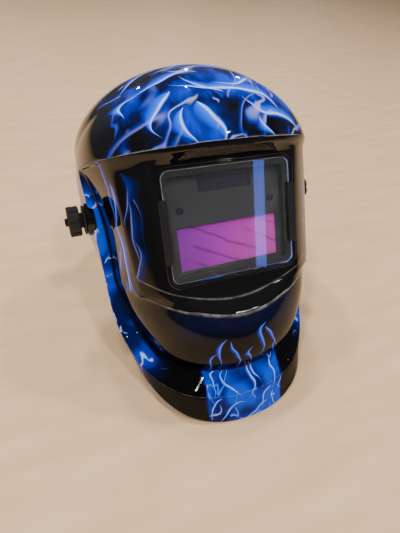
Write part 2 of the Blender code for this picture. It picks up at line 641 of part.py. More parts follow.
def build_pivots(mats, shell_side, gear_side):
    """Bolt, knob, washers, angle plate, slab and stop peg on each ear."""
    wide = shell_scale()[0]
    boss_in = (BOSS_FACE_X - BOSS_DEPTH) * wide
    face_x = boss_in + BOSS_DEPTH
    slab_x = BAND_HALF_WIDTH + BAND_THICK + SLAB_GAP
    plate_x = slab_x + SLAB_THICK + GAP
    spacer_x = plate_x + PLATE_THICK + GAP
    washer_x = face_x + GAP
    knob_x = washer_x + WASHER_THICK + GAP
    knob_end = knob_x + KNOB_NECK + KNOB_THICK
    peg_y = PIVOT_Y + STOP_RADIUS * math.cos(PEG_ANGLE)
    peg_z = PIVOT_Z + STOP_RADIUS * math.sin(PEG_ANGLE)
    peg_end = ear_inner_x(peg_y - STOP_PEG, peg_z) - 2 * GAP
    for side, sign in (("left", -1), ("right", 1)):
        turn = (0.0, math.pi / 2 * sign, 0.0)
        seat = (0.0, PIVOT_Y, PIVOT_Z)
        bolt = lathe([(0.0, slab_x - 0.2 * MM - BOLT_HEAD), (BOLT_HEAD_RADIUS, slab_x - 0.2 * MM - BOLT_HEAD),
                      (BOLT_HEAD_RADIUS, slab_x - GAP), (BOLT_RADIUS, slab_x - GAP),
                      (BOLT_RADIUS, knob_end + 2.0 * MM), (BOLT_RADIUS - 0.8 * MM, knob_end + 2.8 * MM),
                      (0.0, knob_end + 2.8 * MM)], 16)
        add_object("pivot_bolt_" + side, bolt, mats["trim"], gear_side, seat, turn, smooth=40)
        bore = circle(BOLT_RADIUS + GAP, steps=16)
        neck = lathe([(BOLT_RADIUS + GAP, knob_x), (NECK_RADIUS, knob_x),
                      (NECK_RADIUS, knob_x + KNOB_NECK + 0.5 * MM),
                      (BOLT_RADIUS + GAP, knob_x + KNOB_NECK + 0.5 * MM)], 16)
        body = prism(lobed_circle(KNOB_RADIUS, KNOB_LOBES, 1.8 * MM, 4), [bore], knob_x + KNOB_NECK,
                     knob_end)
        knob = add_object("pivot_knob_" + side, body, mats["knob"], gear_side, seat, turn)
        cut(knob, add_object("knob neck " + side, neck, None, gear_side, seat, turn), "UNION")
        washer = lathe([(BOLT_RADIUS + GAP, washer_x), (WASHER_RADIUS, washer_x),
                        (WASHER_RADIUS, washer_x + WASHER_THICK - 0.6 * MM),
                        (WASHER_RADIUS - 0.8 * MM, washer_x + WASHER_THICK),
                        (BOLT_RADIUS + GAP, washer_x + WASHER_THICK)], 28)
        add_object("pivot_washer_" + side, washer, mats["trim"], gear_side, seat, turn, smooth=40)
        spacer = lathe([(BOLT_RADIUS + GAP, spacer_x), (SPACER_RADIUS, spacer_x), (SPACER_RADIUS, boss_in - GAP),
                        (BOLT_RADIUS + GAP, boss_in - GAP)], 20)
        add_object("friction_spacer_" + side, spacer, mats["trim"], gear_side, seat, turn, smooth=40)
        peg = lathe([(0.0, plate_x + GAP), (STOP_PEG, plate_x + GAP), (STOP_PEG, peg_end),
                     (0.0, peg_end)], 12)
        add_object("stop_peg_" + side, peg, mats["steel"], shell_side, (0.0, peg_y, peg_z), turn,
                   smooth=40)
        slot = arc_slot(STOP_RADIUS, STOP_PEG + GAP, 0.0, FLIP_RANGE, 6)
        slot = turned_outline(slot, PEG_ANGLE - FLIP_RANGE)
        plate = prism(circle(PLATE_RADIUS, steps=28), [bore, slot], 0.0, PLATE_THICK)
        add_side_plate("angle_plate_" + side, plate, plate_x, sign, mats["trim"], gear_side, seat)
        slab_hole = rounded_rectangle(SLAB_SLOT, 2 * (BOLT_RADIUS + GAP), BOLT_RADIUS + GAP - 0.01 * MM,
                                      (0.0, 0.0), 4)
        slab = prism(rounded_rectangle(SLAB_LENGTH, SLAB_HEIGHT, 6 * MM, (SLAB_SHIFT, 0.0), 4),
                     [slab_hole], 0.0, SLAB_THICK)
        add_side_plate("adjusting_slab_" + side, slab, slab_x, sign, mats["band"], gear_side, seat)


def band_place(x, back, up):
    """Point given in the tilted plane of the headband."""
    return Vector((x, BAND_CENTRE_Y + back * math.cos(BAND_TILT) + up * math.sin(BAND_TILT),
                   BAND_CENTRE_Z - back * math.sin(BAND_TILT) + up * math.cos(BAND_TILT)))


def band_outline(steps):
    """Inner line of the headband from the left tail round the front to the right tail."""
    scale = np.array((BAND_HALF_WIDTH, BAND_HALF_LENGTH))
    half = [p * scale for p in smooth_curve([(-BAND_KEYS[1][0], BAND_KEYS[1][1]), *BAND_KEYS], steps)]
    half = half[steps:] + [np.array((TAIL_X, half[-1][1]))]
    return [p * (-1, 1) for p in half[:0:-1]] + half


def band_inner_x(back):
    """How far out the headband's inner face is, at a distance back from its middle."""
    right = [p for p in band_outline(5) if p[0] > 0]
    return float(np.interp(back, [p[1] for p in right], [p[0] for p in right]))


def outward(outline):
    """Unit normals of a line drawn clockwise seen from above, pointing away from its inside."""
    normals = []
    for k in range(len(outline)):
        run = outline[min(k + 1, len(outline) - 1)] - outline[max(k - 1, 0)]
        run = run / np.linalg.norm(run)
        normals.append(np.array((run[1], -run[0])))
    return normals


def band_strip(outline, normals, offset, height, thick):
    """Strip along part of the headband's line, offset outwards from it."""
    up = band_place(0, 0, 1.0) - band_place(0, 0, 0)
    centres = [band_place(*(p + n * offset), 0.0) for p, n in zip(outline, normals)]
    outs = [band_place(*n, 0.0) - band_place(0, 0, 0) for n in normals]
    return strip(centres, [up] * len(centres), outs, height, thick)


def ribbon(points, centre, width, thick):
    """Strip through points whose flat faces away from a centre."""
    centres = [Vector(p) for p in points]
    acrosses = []
    normals = []
    for k, point in enumerate(centres):
        run = (centres[min(k + 1, len(centres) - 1)] - centres[max(k - 1, 0)]).normalized()
        normal = point - Vector(centre)
        normal.y = 0.0
        normal = (normal - run * normal.dot(run)).normalized()
        normals.append(normal)
        acrosses.append(run.cross(normal))
    return strip(centres, acrosses, normals, width, thick)


def toothed_bar(start, end, side):
    """Rack drawn in x and up; side is 1 above the pinion and -1 below it."""
    pitch_up = TOOTH_PITCH * PINION_TEETH / math.tau
    root = pitch_up + TOOTH_HEIGHT * 0.6
    tip = pitch_up - TOOTH_HEIGHT * 0.4
    points = [(end, root), (end, BAND_HEIGHT / 2), (start, BAND_HEIGHT / 2), (start, root)]
    first = math.ceil((start + TOOTH_PITCH / 2) / TOOTH_PITCH)
    last = math.floor((min(end, 24 * MM) - TOOTH_PITCH / 2) / TOOTH_PITCH)
    for k in range(first, last + 1):
        x = k * TOOTH_PITCH
        points += [(x - 1.1 * MM, root), (x - 0.45 * MM, tip), (x + 0.45 * MM, tip), (x + 1.1 * MM, root)]
    return [(x, side * up) for x, up in points]


def pinion_outline():
    pitch_radius = TOOTH_PITCH * PINION_TEETH / math.tau
    root = pitch_radius - TOOTH_HEIGHT * 0.6
    tip = pitch_radius + TOOTH_HEIGHT * 0.4
    points = []
    for k in range(PINION_TEETH):
        middle = math.tau * k / PINION_TEETH
        for radius, half in ((root, 1.05 * MM), (tip, 0.45 * MM), (tip, -0.45 * MM), (root, -1.05 * MM)):
            angle = middle - half / radius
            points.append((radius * math.cos(angle), radius * math.sin(angle)))
    return points


def in_band(bm):
    """Move a plate drawn in x and up, raised backwards, into the headband's plane."""
    for vert in bm.verts:
        vert.co = band_place(vert.co.x, vert.co.z, vert.co.y)
    return bm


def build_headgear(mats, parent):
    outline = band_outline(5)
    normals = outward(outline)
    add_object("headband", band_strip(outline, normals, 0.0, BAND_HEIGHT, BAND_THICK), mats["band"],
               parent, smooth=40)
    front = [k for k, p in enumerate(outline) if p[1] < -0.48 * BAND_HALF_LENGTH]
    pad = band_strip([outline[k] for k in front], [normals[k] for k in front], -GAP - PAD_THICK,
                     PAD_HEIGHT, PAD_THICK)
    pad = add_object("sweatband", pad, mats["pad"], parent)
    bevel = pad.modifiers.new("Rounded", "BEVEL")
    bevel.width = 1.5 * MM
    bevel.segments = 2
    bevel.limit_method = "ANGLE"
    foot_x = band_inner_x(STRAP_KNEE[0] - STRAP_WIDTH / 2) - 2 * GAP - STRAP_THICK
    foot = band_place(foot_x, *STRAP_FOOT)
    knee = band_place(foot_x, *STRAP_KNEE)
    head_centre = (0.0, CROWN_Y, foot.z)
    for side, sign, lift in (("left", -1, STRAP_THICK + GAP), ("right", 1, 0.0)):
        keys = [foot, knee, (0.93 * foot_x, CROWN_Y + 8 * MM, 0.55 * CROWN_Z),
                (0.66 * foot_x, CROWN_Y + 3 * MM, 0.85 * CROWN_Z), (0.28 * foot_x, CROWN_Y, CROWN_Z + lift),
                (0.0, CROWN_Y, CROWN_Z + CROWN_ARCH + lift), (-0.16 * foot_x, CROWN_Y, CROWN_Z + 2.3 * MM + lift)]
        path = smooth_curve([(sign * p[0], p[1], p[2]) for p in keys], 4)
        strap = ribbon(path, head_centre, STRAP_WIDTH, STRAP_THICK)
        crown = add_object("crown_strap_" + side, strap, mats["band"], parent, smooth=50)
        hole = lathe([(0.0, -8 * MM), (BUTTON_RADIUS + GAP, -8 * MM), (BUTTON_RADIUS + GAP, 12 * MM),
                      (0.0, 12 * MM)], 12)
        cut(crown, add_object("button hole " + side, hole, None, parent, (0.0, CROWN_Y, CROWN_Z)))
    button_z = CROWN_Z + CROWN_ARCH
    button = lathe([(0.0, -BUTTON_HEAD), (BUTTON_HEAD_RADIUS, -BUTTON_HEAD),
                    (BUTTON_HEAD_RADIUS, -GAP - 0.2 * MM),
                    (BUTTON_RADIUS, -GAP - 0.2 * MM), (BUTTON_RADIUS, 2 * STRAP_THICK + 2 * GAP + 0.6 * MM),
                    (0.0, 2 * STRAP_THICK + 2 * GAP + 1.2 * MM)], 14)
    add_object("crown_button", button, mats["trim"], parent, (0.0, CROWN_Y, button_z), smooth=40)


def build_ratchet(mats, parent):
    tail_back = BAND_HALF_LENGTH * BAND_KEYS[-1][1]
    rack_back = tail_back + BAND_THICK + GAP
    wheel_back = rack_back - 0.2 * MM
    back_wall = rack_back + 7.0 * MM
    case_back = back_wall + 2.4 * MM
    for side, sign, level in (("left", -1, -1), ("right", 1, 1)):
        start, end = sorted((-sign * RACK_PAST, sign * RACK_REACH))
        if sign < 0:
            bar = [(-x, up) for x, up in toothed_bar(-end, -start, level)]
        else:
            bar = toothed_bar(start, end, level)
        bm = in_band(prism(bar, [], rack_back, rack_back + RACK_THICK))
        add_object("rack_strap_" + side, bm, mats["band"], parent)
    inner = rounded_rectangle(2 * CASE_HALF_WIDTH, 2 * CASE_HALF_HEIGHT, 5 * MM)
    bm = in_band(prism(inner, [], tail_back - GAP - 2.2 * MM, tail_back - GAP))
    add_object("ratchet_case_inner", bm, mats["trim"], parent)
    wall = 2.0 * MM
    high = CASE_HALF_HEIGHT
    section = [(tail_back, high), (tail_back, high - wall), (back_wall, high - wall),
               (back_wall, wall - high), (tail_back, wall - high), (tail_back, -high),
               (case_back - 2 * MM, -high), (case_back, 3 * MM - high), (case_back, high - 3 * MM),
               (case_back - 2 * MM, high)]
    bm = prism(section, [], -CASE_HALF_WIDTH, CASE_HALF_WIDTH)
    for vert in bm.verts:
        vert.co = band_place(vert.co.z, vert.co.x, vert.co.y)
    case = add_object("ratchet_case_outer", bm, mats["trim"], parent)
    axis = band_place(0.0, 0.0, 0.0)
    turn = (-math.pi / 2 - BAND_TILT, 0.0, 0.0)
    bore = lathe([(0.0, tail_back + 3 * MM), (AXLE_RADIUS + GAP, tail_back + 3 * MM),
                  (AXLE_RADIUS + GAP, case_back + 9 * MM), (0.0, case_back + 9 * MM)], 16)
    cut(case, add_object("axle bore", bore, None, parent, axis, turn))
    wheel = add_object("ratchet_pinion", prism(pinion_outline(), [], wheel_back, wheel_back + 2.2 * MM),
                       mats["steel"], parent, axis, turn)
    knob_back = case_back + GAP
    axle = lathe([(0.0, wheel_back + 1.0 * MM), (AXLE_RADIUS, wheel_back + 1.0 * MM),
                  (AXLE_RADIUS, knob_back + 4 * MM), (0.0, knob_back + 4 * MM)], 16)
    cut(wheel, add_object("axle guide", axle, None, parent, axis, turn), "UNION")
    body = prism(lobed_circle(RATCHET_KNOB_RADIUS, 14, 1.2 * MM, 4), [], knob_back,
                 knob_back + RATCHET_KNOB_THICK)
    knob = add_object("ratchet_knob", body, mats["knob"], parent, axis, turn)
    socket = lathe([(0.0, case_back - 1 * MM), (AXLE_RADIUS + GAP, case_back - 1 * MM),
                    (AXLE_RADIUS + GAP, knob_back + 4 * MM + GAP), (0.0, knob_back + 4 * MM + GAP)], 16)
    cut(knob, add_object("knob socket", socket, None, parent, axis, turn))


def world_points(name):
    graph = bpy.context.evaluated_depsgraph_get()
    obj = bpy.data.objects[name].evaluated_get(graph)
    return np.array([obj.matrix_world @ v.co for v in obj.data.vertices])


def stand_up(frame):
    """Lean the helmet back onto its chin edge and rear knob, and put the origin under it."""
    bpy.context.view_layer.update()
    chin = world_points("shell")
    knob = world_points("ratchet_knob")
    low, high = 0.0, math.radians(60.0)
    for _ in range(40):
        lean = (low + high) / 2
        drop = [(p @ (0.0, -math.sin(lean), math.cos(lean))).min() for p in (chin, knob)]
        if drop[1] > drop[0]:
            low = lean
        else:
            high = lean
    frame.rotation_euler = (-lean, 0.0, 0.0)
    bpy.context.view_layer.update()
    solids = [o.name for o in bpy.data.objects if o.type == "MESH" and not o.hide_render]
    points = np.concatenate([world_points(name) for name in solids])
    middle = (points.min(axis=0) + points.max(axis=0)) / 2
    frame.location = (-middle[0], -middle[1], -points[:, 2].min())
    bpy.context.view_layer.update()


def main():
    clear_scene()
    mats = {
        "shell": material("painted_shell", (0.01, 0.01, 0.012), 0.08),
        "clear": material("clear_polycarbonate", (0.8, 0.85, 0.85), 0.05, alpha=0.3),
        "trim": material("black_plastic", (0.02, 0.02, 0.02), 0.5),
        "knob": material("knob_plastic", (0.025, 0.025, 0.025), 0.65),
        "case": material("cartridge_plastic", (0.03, 0.03, 0.035), 0.4),
        "filter": material("filter_glass", (0.35, 0.06, 0.45), 0.05),
        "solar": material("solar_film", (0.03, 0.03, 0.08), 0.2),
        "sensor": material("sensor_epoxy", (0.05, 0.02, 0.06), 0.2),
        "board": material("circuit_laminate", (0.02, 0.12, 0.05), 0.5),
        "steel": material("plated_steel", (0.6, 0.6, 0.62), 0.35, metallic=1.0),
        "band": material("band_plastic", (0.03, 0.03, 0.03), 0.55),
        "pad": material("sweatband_cloth", (0.04, 0.04, 0.045), 0.9),
    }
    frame = empty("helmet_frame")
    build_shell(mats, frame)
    build_window(mats, frame)
    build_cartridge(mats, frame)
    build_pivots(mats, frame, frame)
    build_headgear(mats, frame)
    build_ratchet(mats, frame)
    stand_up(frame)


main()
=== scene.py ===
import json
import math
import bpy
import numpy as np
from mathutils import Matrix, Vector


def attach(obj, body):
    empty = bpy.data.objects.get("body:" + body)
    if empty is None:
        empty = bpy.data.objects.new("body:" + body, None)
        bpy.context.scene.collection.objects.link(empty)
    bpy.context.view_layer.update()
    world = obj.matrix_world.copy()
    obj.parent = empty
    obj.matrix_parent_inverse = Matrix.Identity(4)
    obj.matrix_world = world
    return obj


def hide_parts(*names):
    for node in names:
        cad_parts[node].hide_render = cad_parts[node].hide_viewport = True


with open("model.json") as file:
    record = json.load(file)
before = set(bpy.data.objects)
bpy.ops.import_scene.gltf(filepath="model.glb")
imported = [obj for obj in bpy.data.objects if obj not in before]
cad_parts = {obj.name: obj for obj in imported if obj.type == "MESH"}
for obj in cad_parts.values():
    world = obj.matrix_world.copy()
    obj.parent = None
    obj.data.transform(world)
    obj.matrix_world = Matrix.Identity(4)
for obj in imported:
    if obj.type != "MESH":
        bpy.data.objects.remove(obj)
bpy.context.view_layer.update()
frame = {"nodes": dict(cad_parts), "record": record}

mm = 0.001

# the window's mount says where the helmet stands and how far it leans back
mounts = {mount["name"]: mount for mount in frame["record"]["mounts"]}
lensCentre = Vector(mounts["cover_lens_face"]["pos_m"])
lensAxis = Vector(mounts["cover_lens_face"]["axis"])
lean = math.atan2(lensAxis.z, -lensAxis.y)
helmetPlace = Matrix.Translation(lensCentre) @ Matrix.Rotation(-lean, 4, "X")


# working with objects
def letGo():
    if bpy.context.object and bpy.context.object.mode != "OBJECT":
        bpy.ops.object.mode_set(mode="OBJECT")
    bpy.ops.object.select_all(action="DESELECT")


def take(piece, *others):
    letGo()
    for one in (piece, *others):
        one.select_set(True)
    bpy.context.view_layer.objects.active = piece
    return piece


def editAll(piece):
    take(piece)
    bpy.ops.object.mode_set(mode="EDIT")
    bpy.ops.mesh.select_all(action="SELECT")


def applyModifier(piece, kind, **settings):
    take(piece)
    modifier = piece.modifiers.new(kind.title(), kind)
    for name, value in settings.items():
        setattr(modifier, name, value)
    bpy.ops.object.modifier_apply(modifier=modifier.name)


def sheet(name, rows, closed=True, uv=None):
    # a grid whose rows of points are put in place, in millimetres of the helmet's own frame
    points = np.array(rows, dtype=float)
    rowCount, columnCount = points.shape[:2]
    letGo()
    bpy.ops.mesh.primitive_grid_add(x_subdivisions=columnCount - 1, y_subdivisions=rowCount - 1)
    piece = bpy.context.object
    piece.name = name
    piece.data.name = name
    piece.data.vertices.foreach_set("co", (points * mm).reshape(-1))
    layer = piece.data.uv_layers[0]
    layer.name = "flow"
    if uv is not None:
        flat = np.array(uv, dtype=float).reshape(-1, 2)
        corners = np.empty(len(piece.data.loops), dtype=np.int32)
        piece.data.loops.foreach_get("vertex_index", corners)
        layer.uv.foreach_set("vector", flat[corners].reshape(-1))
    piece.data.update()
    if closed:
        closeUp(piece)
    return piece


def closeUp(piece, distance=0.004):
    editAll(piece)
    bpy.ops.mesh.remove_doubles(threshold=distance * mm)
    bpy.ops.mesh.normals_make_consistent(inside=False)
    bpy.ops.object.mode_set(mode="OBJECT")


def turnFaces(piece):
    editAll(piece)
    bpy.ops.mesh.flip_normals()
    bpy.ops.object.mode_set(mode="OBJECT")


def joined(pieces, name):
    take(*pieces)
    bpy.ops.object.join()
    pieces[0].name = name
    pieces[0].data.name = name
    return pieces[0]


def boolean(piece, cutter, operation):
    applyModifier(piece, "BOOLEAN", object=cutter, operation=operation, solver="EXACT")
    bpy.data.objects.remove(cutter)


def coat(piece, finishes, slotIndex):
    for finish in finishes:
        piece.data.materials.append(finish)
    piece.data.polygons.foreach_set("material_index", [slotIndex] * len(piece.data.polygons))


def rounded(piece, angle=35):
    take(piece)
    bpy.ops.object.shade_smooth_by_angle(angle=math.radians(angle))


def settle(piece, finishes, body, slot, *nodes):
    # moves the finished mesh to its place in the world and says what it stands for
    piece.data.transform(helmetPlace @ piece.matrix_world)
    piece.matrix_world = Matrix.Identity(4)
    piece.data.update()
    if not isinstance(finishes, (list, tuple)):
        finishes = [finishes]
    if not piece.data.materials:
        for finish in finishes:
            piece.data.materials.append(finish)
    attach(piece, body)
    if nodes:
        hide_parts(*nodes)
    return piece


def curvePoint(keys, t):
    # between the middle two of four keys
    a, b, c, d = keys
    return 0.5 * (2 * b + (c - a) * t + (2 * a - 5 * b + 4 * c - d) * t * t
                  + (3 * b - a - 3 * c + d) * t ** 3)


def smoothCurve(points, steps):
    keys = [np.array(point, dtype=float) for point in points]
    keys = [2 * keys[0] - keys[1], *keys, 2 * keys[-1] - keys[-2]]
    curve = [curvePoint(keys[k:k + 4], step / steps) for k in range(len(keys) - 3) for step in range(steps)]
    return curve + [keys[-2]]


def direction(line, k):
    run = line[min(k + 1, len(line) - 1)] - line[max(k - 1, 0)]
    return run / np.linalg.norm(run)


def roundedOutline(width, height, radius, steps=8):
    outline = []
    for corner in range(4):
        across = 1 if corner in (0, 3) else -1
        up = 1 if corner < 2 else -1
        for step in range(steps + 1):
            angle = math.pi / 2 * (corner + step / steps)
            outline.append(((across * (width / 2 - radius) + radius * math.cos(angle),
                             up * (height / 2 - radius) + radius * math.sin(angle)),
                            (math.cos(angle), math.sin(angle))))
    return outline


# finishes
def startNodes(owner):
    global tree  # new nodes go to the finish or backdrop that was started last
    owner.use_nodes = True
    tree = owner.node_tree


def feed(made, socket, value):
    if isinstance(value, bpy.types.NodeSocket):
        tree.links.new(value, made.inputs[socket])
    else:
        made.inputs[socket].default_value = value


def addNode(kind, inputs=None, **settings):
    made = tree.nodes.new("ShaderNode" + kind)
    for name, value in settings.items():
        setattr(made, name, value)
    for socket, value in (inputs or {}).items():
        feed(made, socket, value)
    return made


def calc(operation, *values):
    return addNode("Math", dict(enumerate(values)), operation=operation).outputs[0]


def times(first, *others):
    for value in others:
        first = calc("MULTIPLY", first, value)
    return first


def most(first, *others):
    for value in others:
        first = calc("MAXIMUM", first, value)
    return first


def plus(a, b):
    return calc("ADD", a, b)


def minus(a, b):
    return calc("SUBTRACT", a, b)


def scaled(value, factor, offset):
    return calc("MULTIPLY_ADD", value, factor, offset)


def sizeOf(value):
    return calc("ABSOLUTE", value)


def vectorCalc(operation, a, b):
    return addNode("VectorMath", {0: a, "Scale" if operation == "SCALE" else 1: b},
                   operation=operation).outputs[0]


def parts(vector):
    return addNode("SeparateXYZ", {0: vector}).outputs


def flatPlace(across, up):
    return addNode("CombineXYZ", {0: across, 1: up}).outputs[0]


def flowMap():
    return addNode("UVMap", uv_map="flow").outputs[0]


def fade(value, start, end, low=0.0, high=1.0):
    ends = {"Value": value, "From Min": start, "From Max": end, "To Min": low, "To Max": high}
    return addNode("MapRange", ends, interpolation_type="SMOOTHSTEP").outputs[0]


def fadeOut(value, start, end):
    return fade(value, start, end, 1.0, 0.0)


def noise(where, scale, detail=2.0, roughness=0.5, output="Fac"):
    made = addNode("TexNoise", {"Vector": where, "Scale": scale, "Detail": detail, "Roughness": roughness})
    return made.outputs[output]


def ramp(value, *stops):
    made = addNode("ValToRGB", {"Fac": value})
    elements = made.color_ramp.elements
    while len(elements) < len(stops):
        elements.new(0.5)
    for element, (position, colour) in zip(elements, stops):
        element.position = position
        element.color = (*colour, 1.0)
    return made.outputs[0]


def blendColour(share, first, second, mode="MIX"):
    made = addNode("Mix", data_type="RGBA", blend_type=mode)
    feed(made, 0, share)
    for socket, colour in ((6, first), (7, second)):
        feed(made, socket, (*colour, 1.0) if isinstance(colour, tuple) else colour)
    return made.outputs[2]


def newFinish(name, **constants):
    finish = bpy.data.materials.new(name)
    startNodes(finish)
    shader = tree.nodes["Principled BSDF"]
    for socket, value in constants.items():
        shader.inputs[socket.replace("_", " ")].default_value = value
    return finish, shader


def newPaint(name, roughness, index):
    return newFinish(name, Specular_IOR_Level=0.0, Coat_Weight=1.0, Coat_Roughness=roughness, Coat_IOR=index)


def helmetCoords():
    # object coordinates turned into the helmet's own frame, in metres from the lens centre
    coords = addNode("TexCoord").outputs["Object"]
    moved = vectorCalc("SUBTRACT", coords, tuple(lensCentre))
    return addNode("Mapping", {"Vector": moved, "Rotation": (lean, 0.0, 0.0)}).outputs[0]


def bumped(shader, height, strength, distance=0.1 * mm):
    bump = addNode("Bump", {"Height": height, "Strength": strength, "Distance": distance})
    feed(shader, "Normal", bump.outputs[0])


def mouldedPlastic(name, colour, roughness, grain=900.0, relief=0.25, dust=0.04):
    finish, shader = newFinish(name)
    coords = helmetCoords()
    fine = noise(coords, grain, 3.0, 0.6)
    wide = noise(coords, 38.0, 3.0)
    worn = fade(wide, 0.55, 0.8, 0.0, dust)
    feed(shader, "Base Color", blendColour(worn, colour, (0.35, 0.33, 0.31)))
    spread = scaled(wide, 0.16, roughness - 0.08)
    feed(shader, "Roughness", spread)
    bumped(shader, fine, relief)
    return finish


def platedSteel(name):
    finish, shader = newFinish(name, Metallic=1.0)
    coords = helmetCoords()
    streaks = noise(vectorCalc("MULTIPLY", coords, (1.0, 1.0, 22.0)), 220.0, 2.0)
    feed(shader, "Base Color", ramp(streaks, (0.3, (0.42, 0.42, 0.44)), (0.7, (0.68, 0.68, 0.7))))
    feed(shader, "Roughness", scaled(streaks, 0.25, 0.2))
    bumped(shader, streaks, 0.1)
    return finish


def wavering(where, scale, amount):
    bend = vectorCalc("SUBTRACT", noise(where, scale, 1.0, 0.4, "Color"), (0.5, 0.5, 0.5))
    return vectorCalc("ADD", where, vectorCalc("SCALE", bend, amount))


def flames(where, look):
    # contour lines of a bent noise: each has a bright edge and a glow on its inner side
    where = addNode("Mapping", {"Vector": where, "Rotation": look["tilt"]}).outputs[0]
    moved = wavering(where, look["bendScale"], look["bend"])
    moved = vectorCalc("MULTIPLY", moved, look["stretch"])
    moved = vectorCalc("ADD", moved, look["seed"])
    ahead = vectorCalc("ADD", moved, look["lean"])
    level, further = [minus(noise(spot, look["scale"], look["detail"], 0.4), look["level"])
                      for spot in (moved, ahead)]
    slope = minus(further, level)
    gaps = fade(noise(moved, look["scale"] * 0.7, 1.0), *look["gaps"])
    strength = times(gaps, fade(slope, 0.0, look["turn"]))
    swell = fade(noise(moved, look["scale"] * 1.6, 0.0), 0.35, 0.65, 1.0, 0.3)
    edge = fadeOut(times(sizeOf(level), swell), 0.0, look["line"])
    inner = fadeOut(level, 0.0, look["glow"])
    outer = fade(level, -look["line"] * 1.6, 0.0)
    body = times(inner, outer, fade(slope, -look["turn"], look["turn"] * 0.5))
    return body, times(edge, strength)


def licks(where, strokes, glowReach=9.0):
    # sprayed S-shaped strokes that taper at both ends, each with a soft glow on one side
    glow, edge = 0.0, 0.0
    for x, y, angle, length, bow, wave, width in strokes:
        half = length / 2 * mm
        local = addNode("Mapping", {"Vector": where, "Location": (x * mm, y * mm, 0.0),
                                    "Rotation": (0.0, 0.0, math.radians(angle)), "Scale": (half, half, 1.0)},
                        vector_type="TEXTURE")
        along, across, _ = parts(local.outputs[0])
        fall = most(minus(1.0, times(along, along)), 0.0)
        path = times(fall, scaled(along, wave, bow))
        taper = most(times(fall, scaled(along, 0.45, 0.55)), 0.001)
        off = calc("DIVIDE", minus(across, path), taper)
        share = width / length * 2
        stroke = fadeOut(sizeOf(off), 0.0, share)
        halo = times(fade(off, -2.5 * share, 0.0), fadeOut(off, 0.0, glowReach * share))
        edge = most(edge, stroke)
        glow = most(glow, halo)
    return glow, edge


blackPaint = (0.0022, 0.0022, 0.003)
flameBlues = ((0.0, blackPaint), (0.25, (0.0003, 0.004, 0.07)), (0.5, (0.0003, 0.022, 0.36)),
              (0.8, (0.001, 0.085, 0.85)), (1.0, (0.015, 0.2, 1.0)))
flameEdge = (0.58, 0.6, 1.0)


def flameColour(body, edge):
    return blendColour(edge, ramp(body, *flameBlues), flameEdge)


def glossTop(shader, coords, colour):
    # lacquer over the paint: soft orange peel, faint scuffs and a few specks of dust
    specks = addNode("TexVoronoi", {"Vector": coords, "Scale": 95.0, "Randomness": 1.0})
    chosen = fade(addNode("SeparateColor", {0: specks.outputs["Color"]}).outputs[0], 0.9, 0.93)
    dots = times(fadeOut(specks.outputs["Distance"], 0.03, 0.055), chosen)
    colour = blendColour(times(dots, 0.55), colour, (0.55, 0.53, 0.5))
    feed(shader, "Base Color", colour)
    scuffs = noise(vectorCalc("MULTIPLY", coords, (1.0, 4.0, 1.4)), 60.0, 4.0, 0.6)
    feed(shader, "Roughness", fade(scuffs, 0.5, 0.75, 0.16, 0.34))
    bumped(shader, noise(coords, 75.0, 1.0), 0.25, 0.06 * mm)


# each stroke: across and up in mm, turn in degrees, length, bow, wave, width
domeStrokes = (
    (-28, 14, 96, 34, 0.16, 0.22, 3.4), (-12, 16, 108, 40, -0.2, 0.2, 3.8),
    (-44, 30, 74, 46, 0.3, -0.25, 3.0), (8, 44, -24, 92, 0.14, 0.34, 4.2),
    (44, 24, -34, 58, -0.12, 0.3, 3.4), (-36, 66, 8, 62, 0.22, 0.3, 2.8),
    (22, 66, 20, 44, -0.34, 0.2, 3.0), (4, 84, -12, 52, 0.3, 0.28, 2.8),
    (62, 52, -58, 50, 0.26, 0.24, 2.8), (48, 78, 64, 38, -0.28, 0.2, 2.4),
    (76, 34, -66, 46, 0.2, -0.2, 2.4), (-64, 48, 62, 30, 0.42, 0.1, 2.2),
    (-8, 58, -40, 40, -0.26, 0.2, 2.4), (34, 10, 120, 26, 0.22, 0.2, 2.2),
    (-50, 92, 30, 48, 0.24, 0.3, 2.4), (30, 104, -30, 60, 0.2, 0.3, 2.8),
    (-20, 112, 40, 54, -0.26, 0.24, 2.6), (70, 96, -40, 50, 0.26, 0.2, 2.4),
    (0, 138, 10, 60, 0.24, 0.3, 2.8), (-58, 130, 60, 44, 0.3, 0.2, 2.4),
    (54, 134, -60, 46, -0.3, 0.2, 2.4))


def paintedEdgeHighlight(coords, colour, where, amount):
    # painted highlight along an edge: a pale line standing in for light caught on the edge, broken up so it
    # is stronger in some places than in others
    patchy = fade(noise(coords, 90.0, 3.0, 0.6), 0.35, 0.65, 0.25, 1.0)
    share = times(where, patchy, amount)
    return blendColour(share, colour, (0.3, 0.28, 0.25))


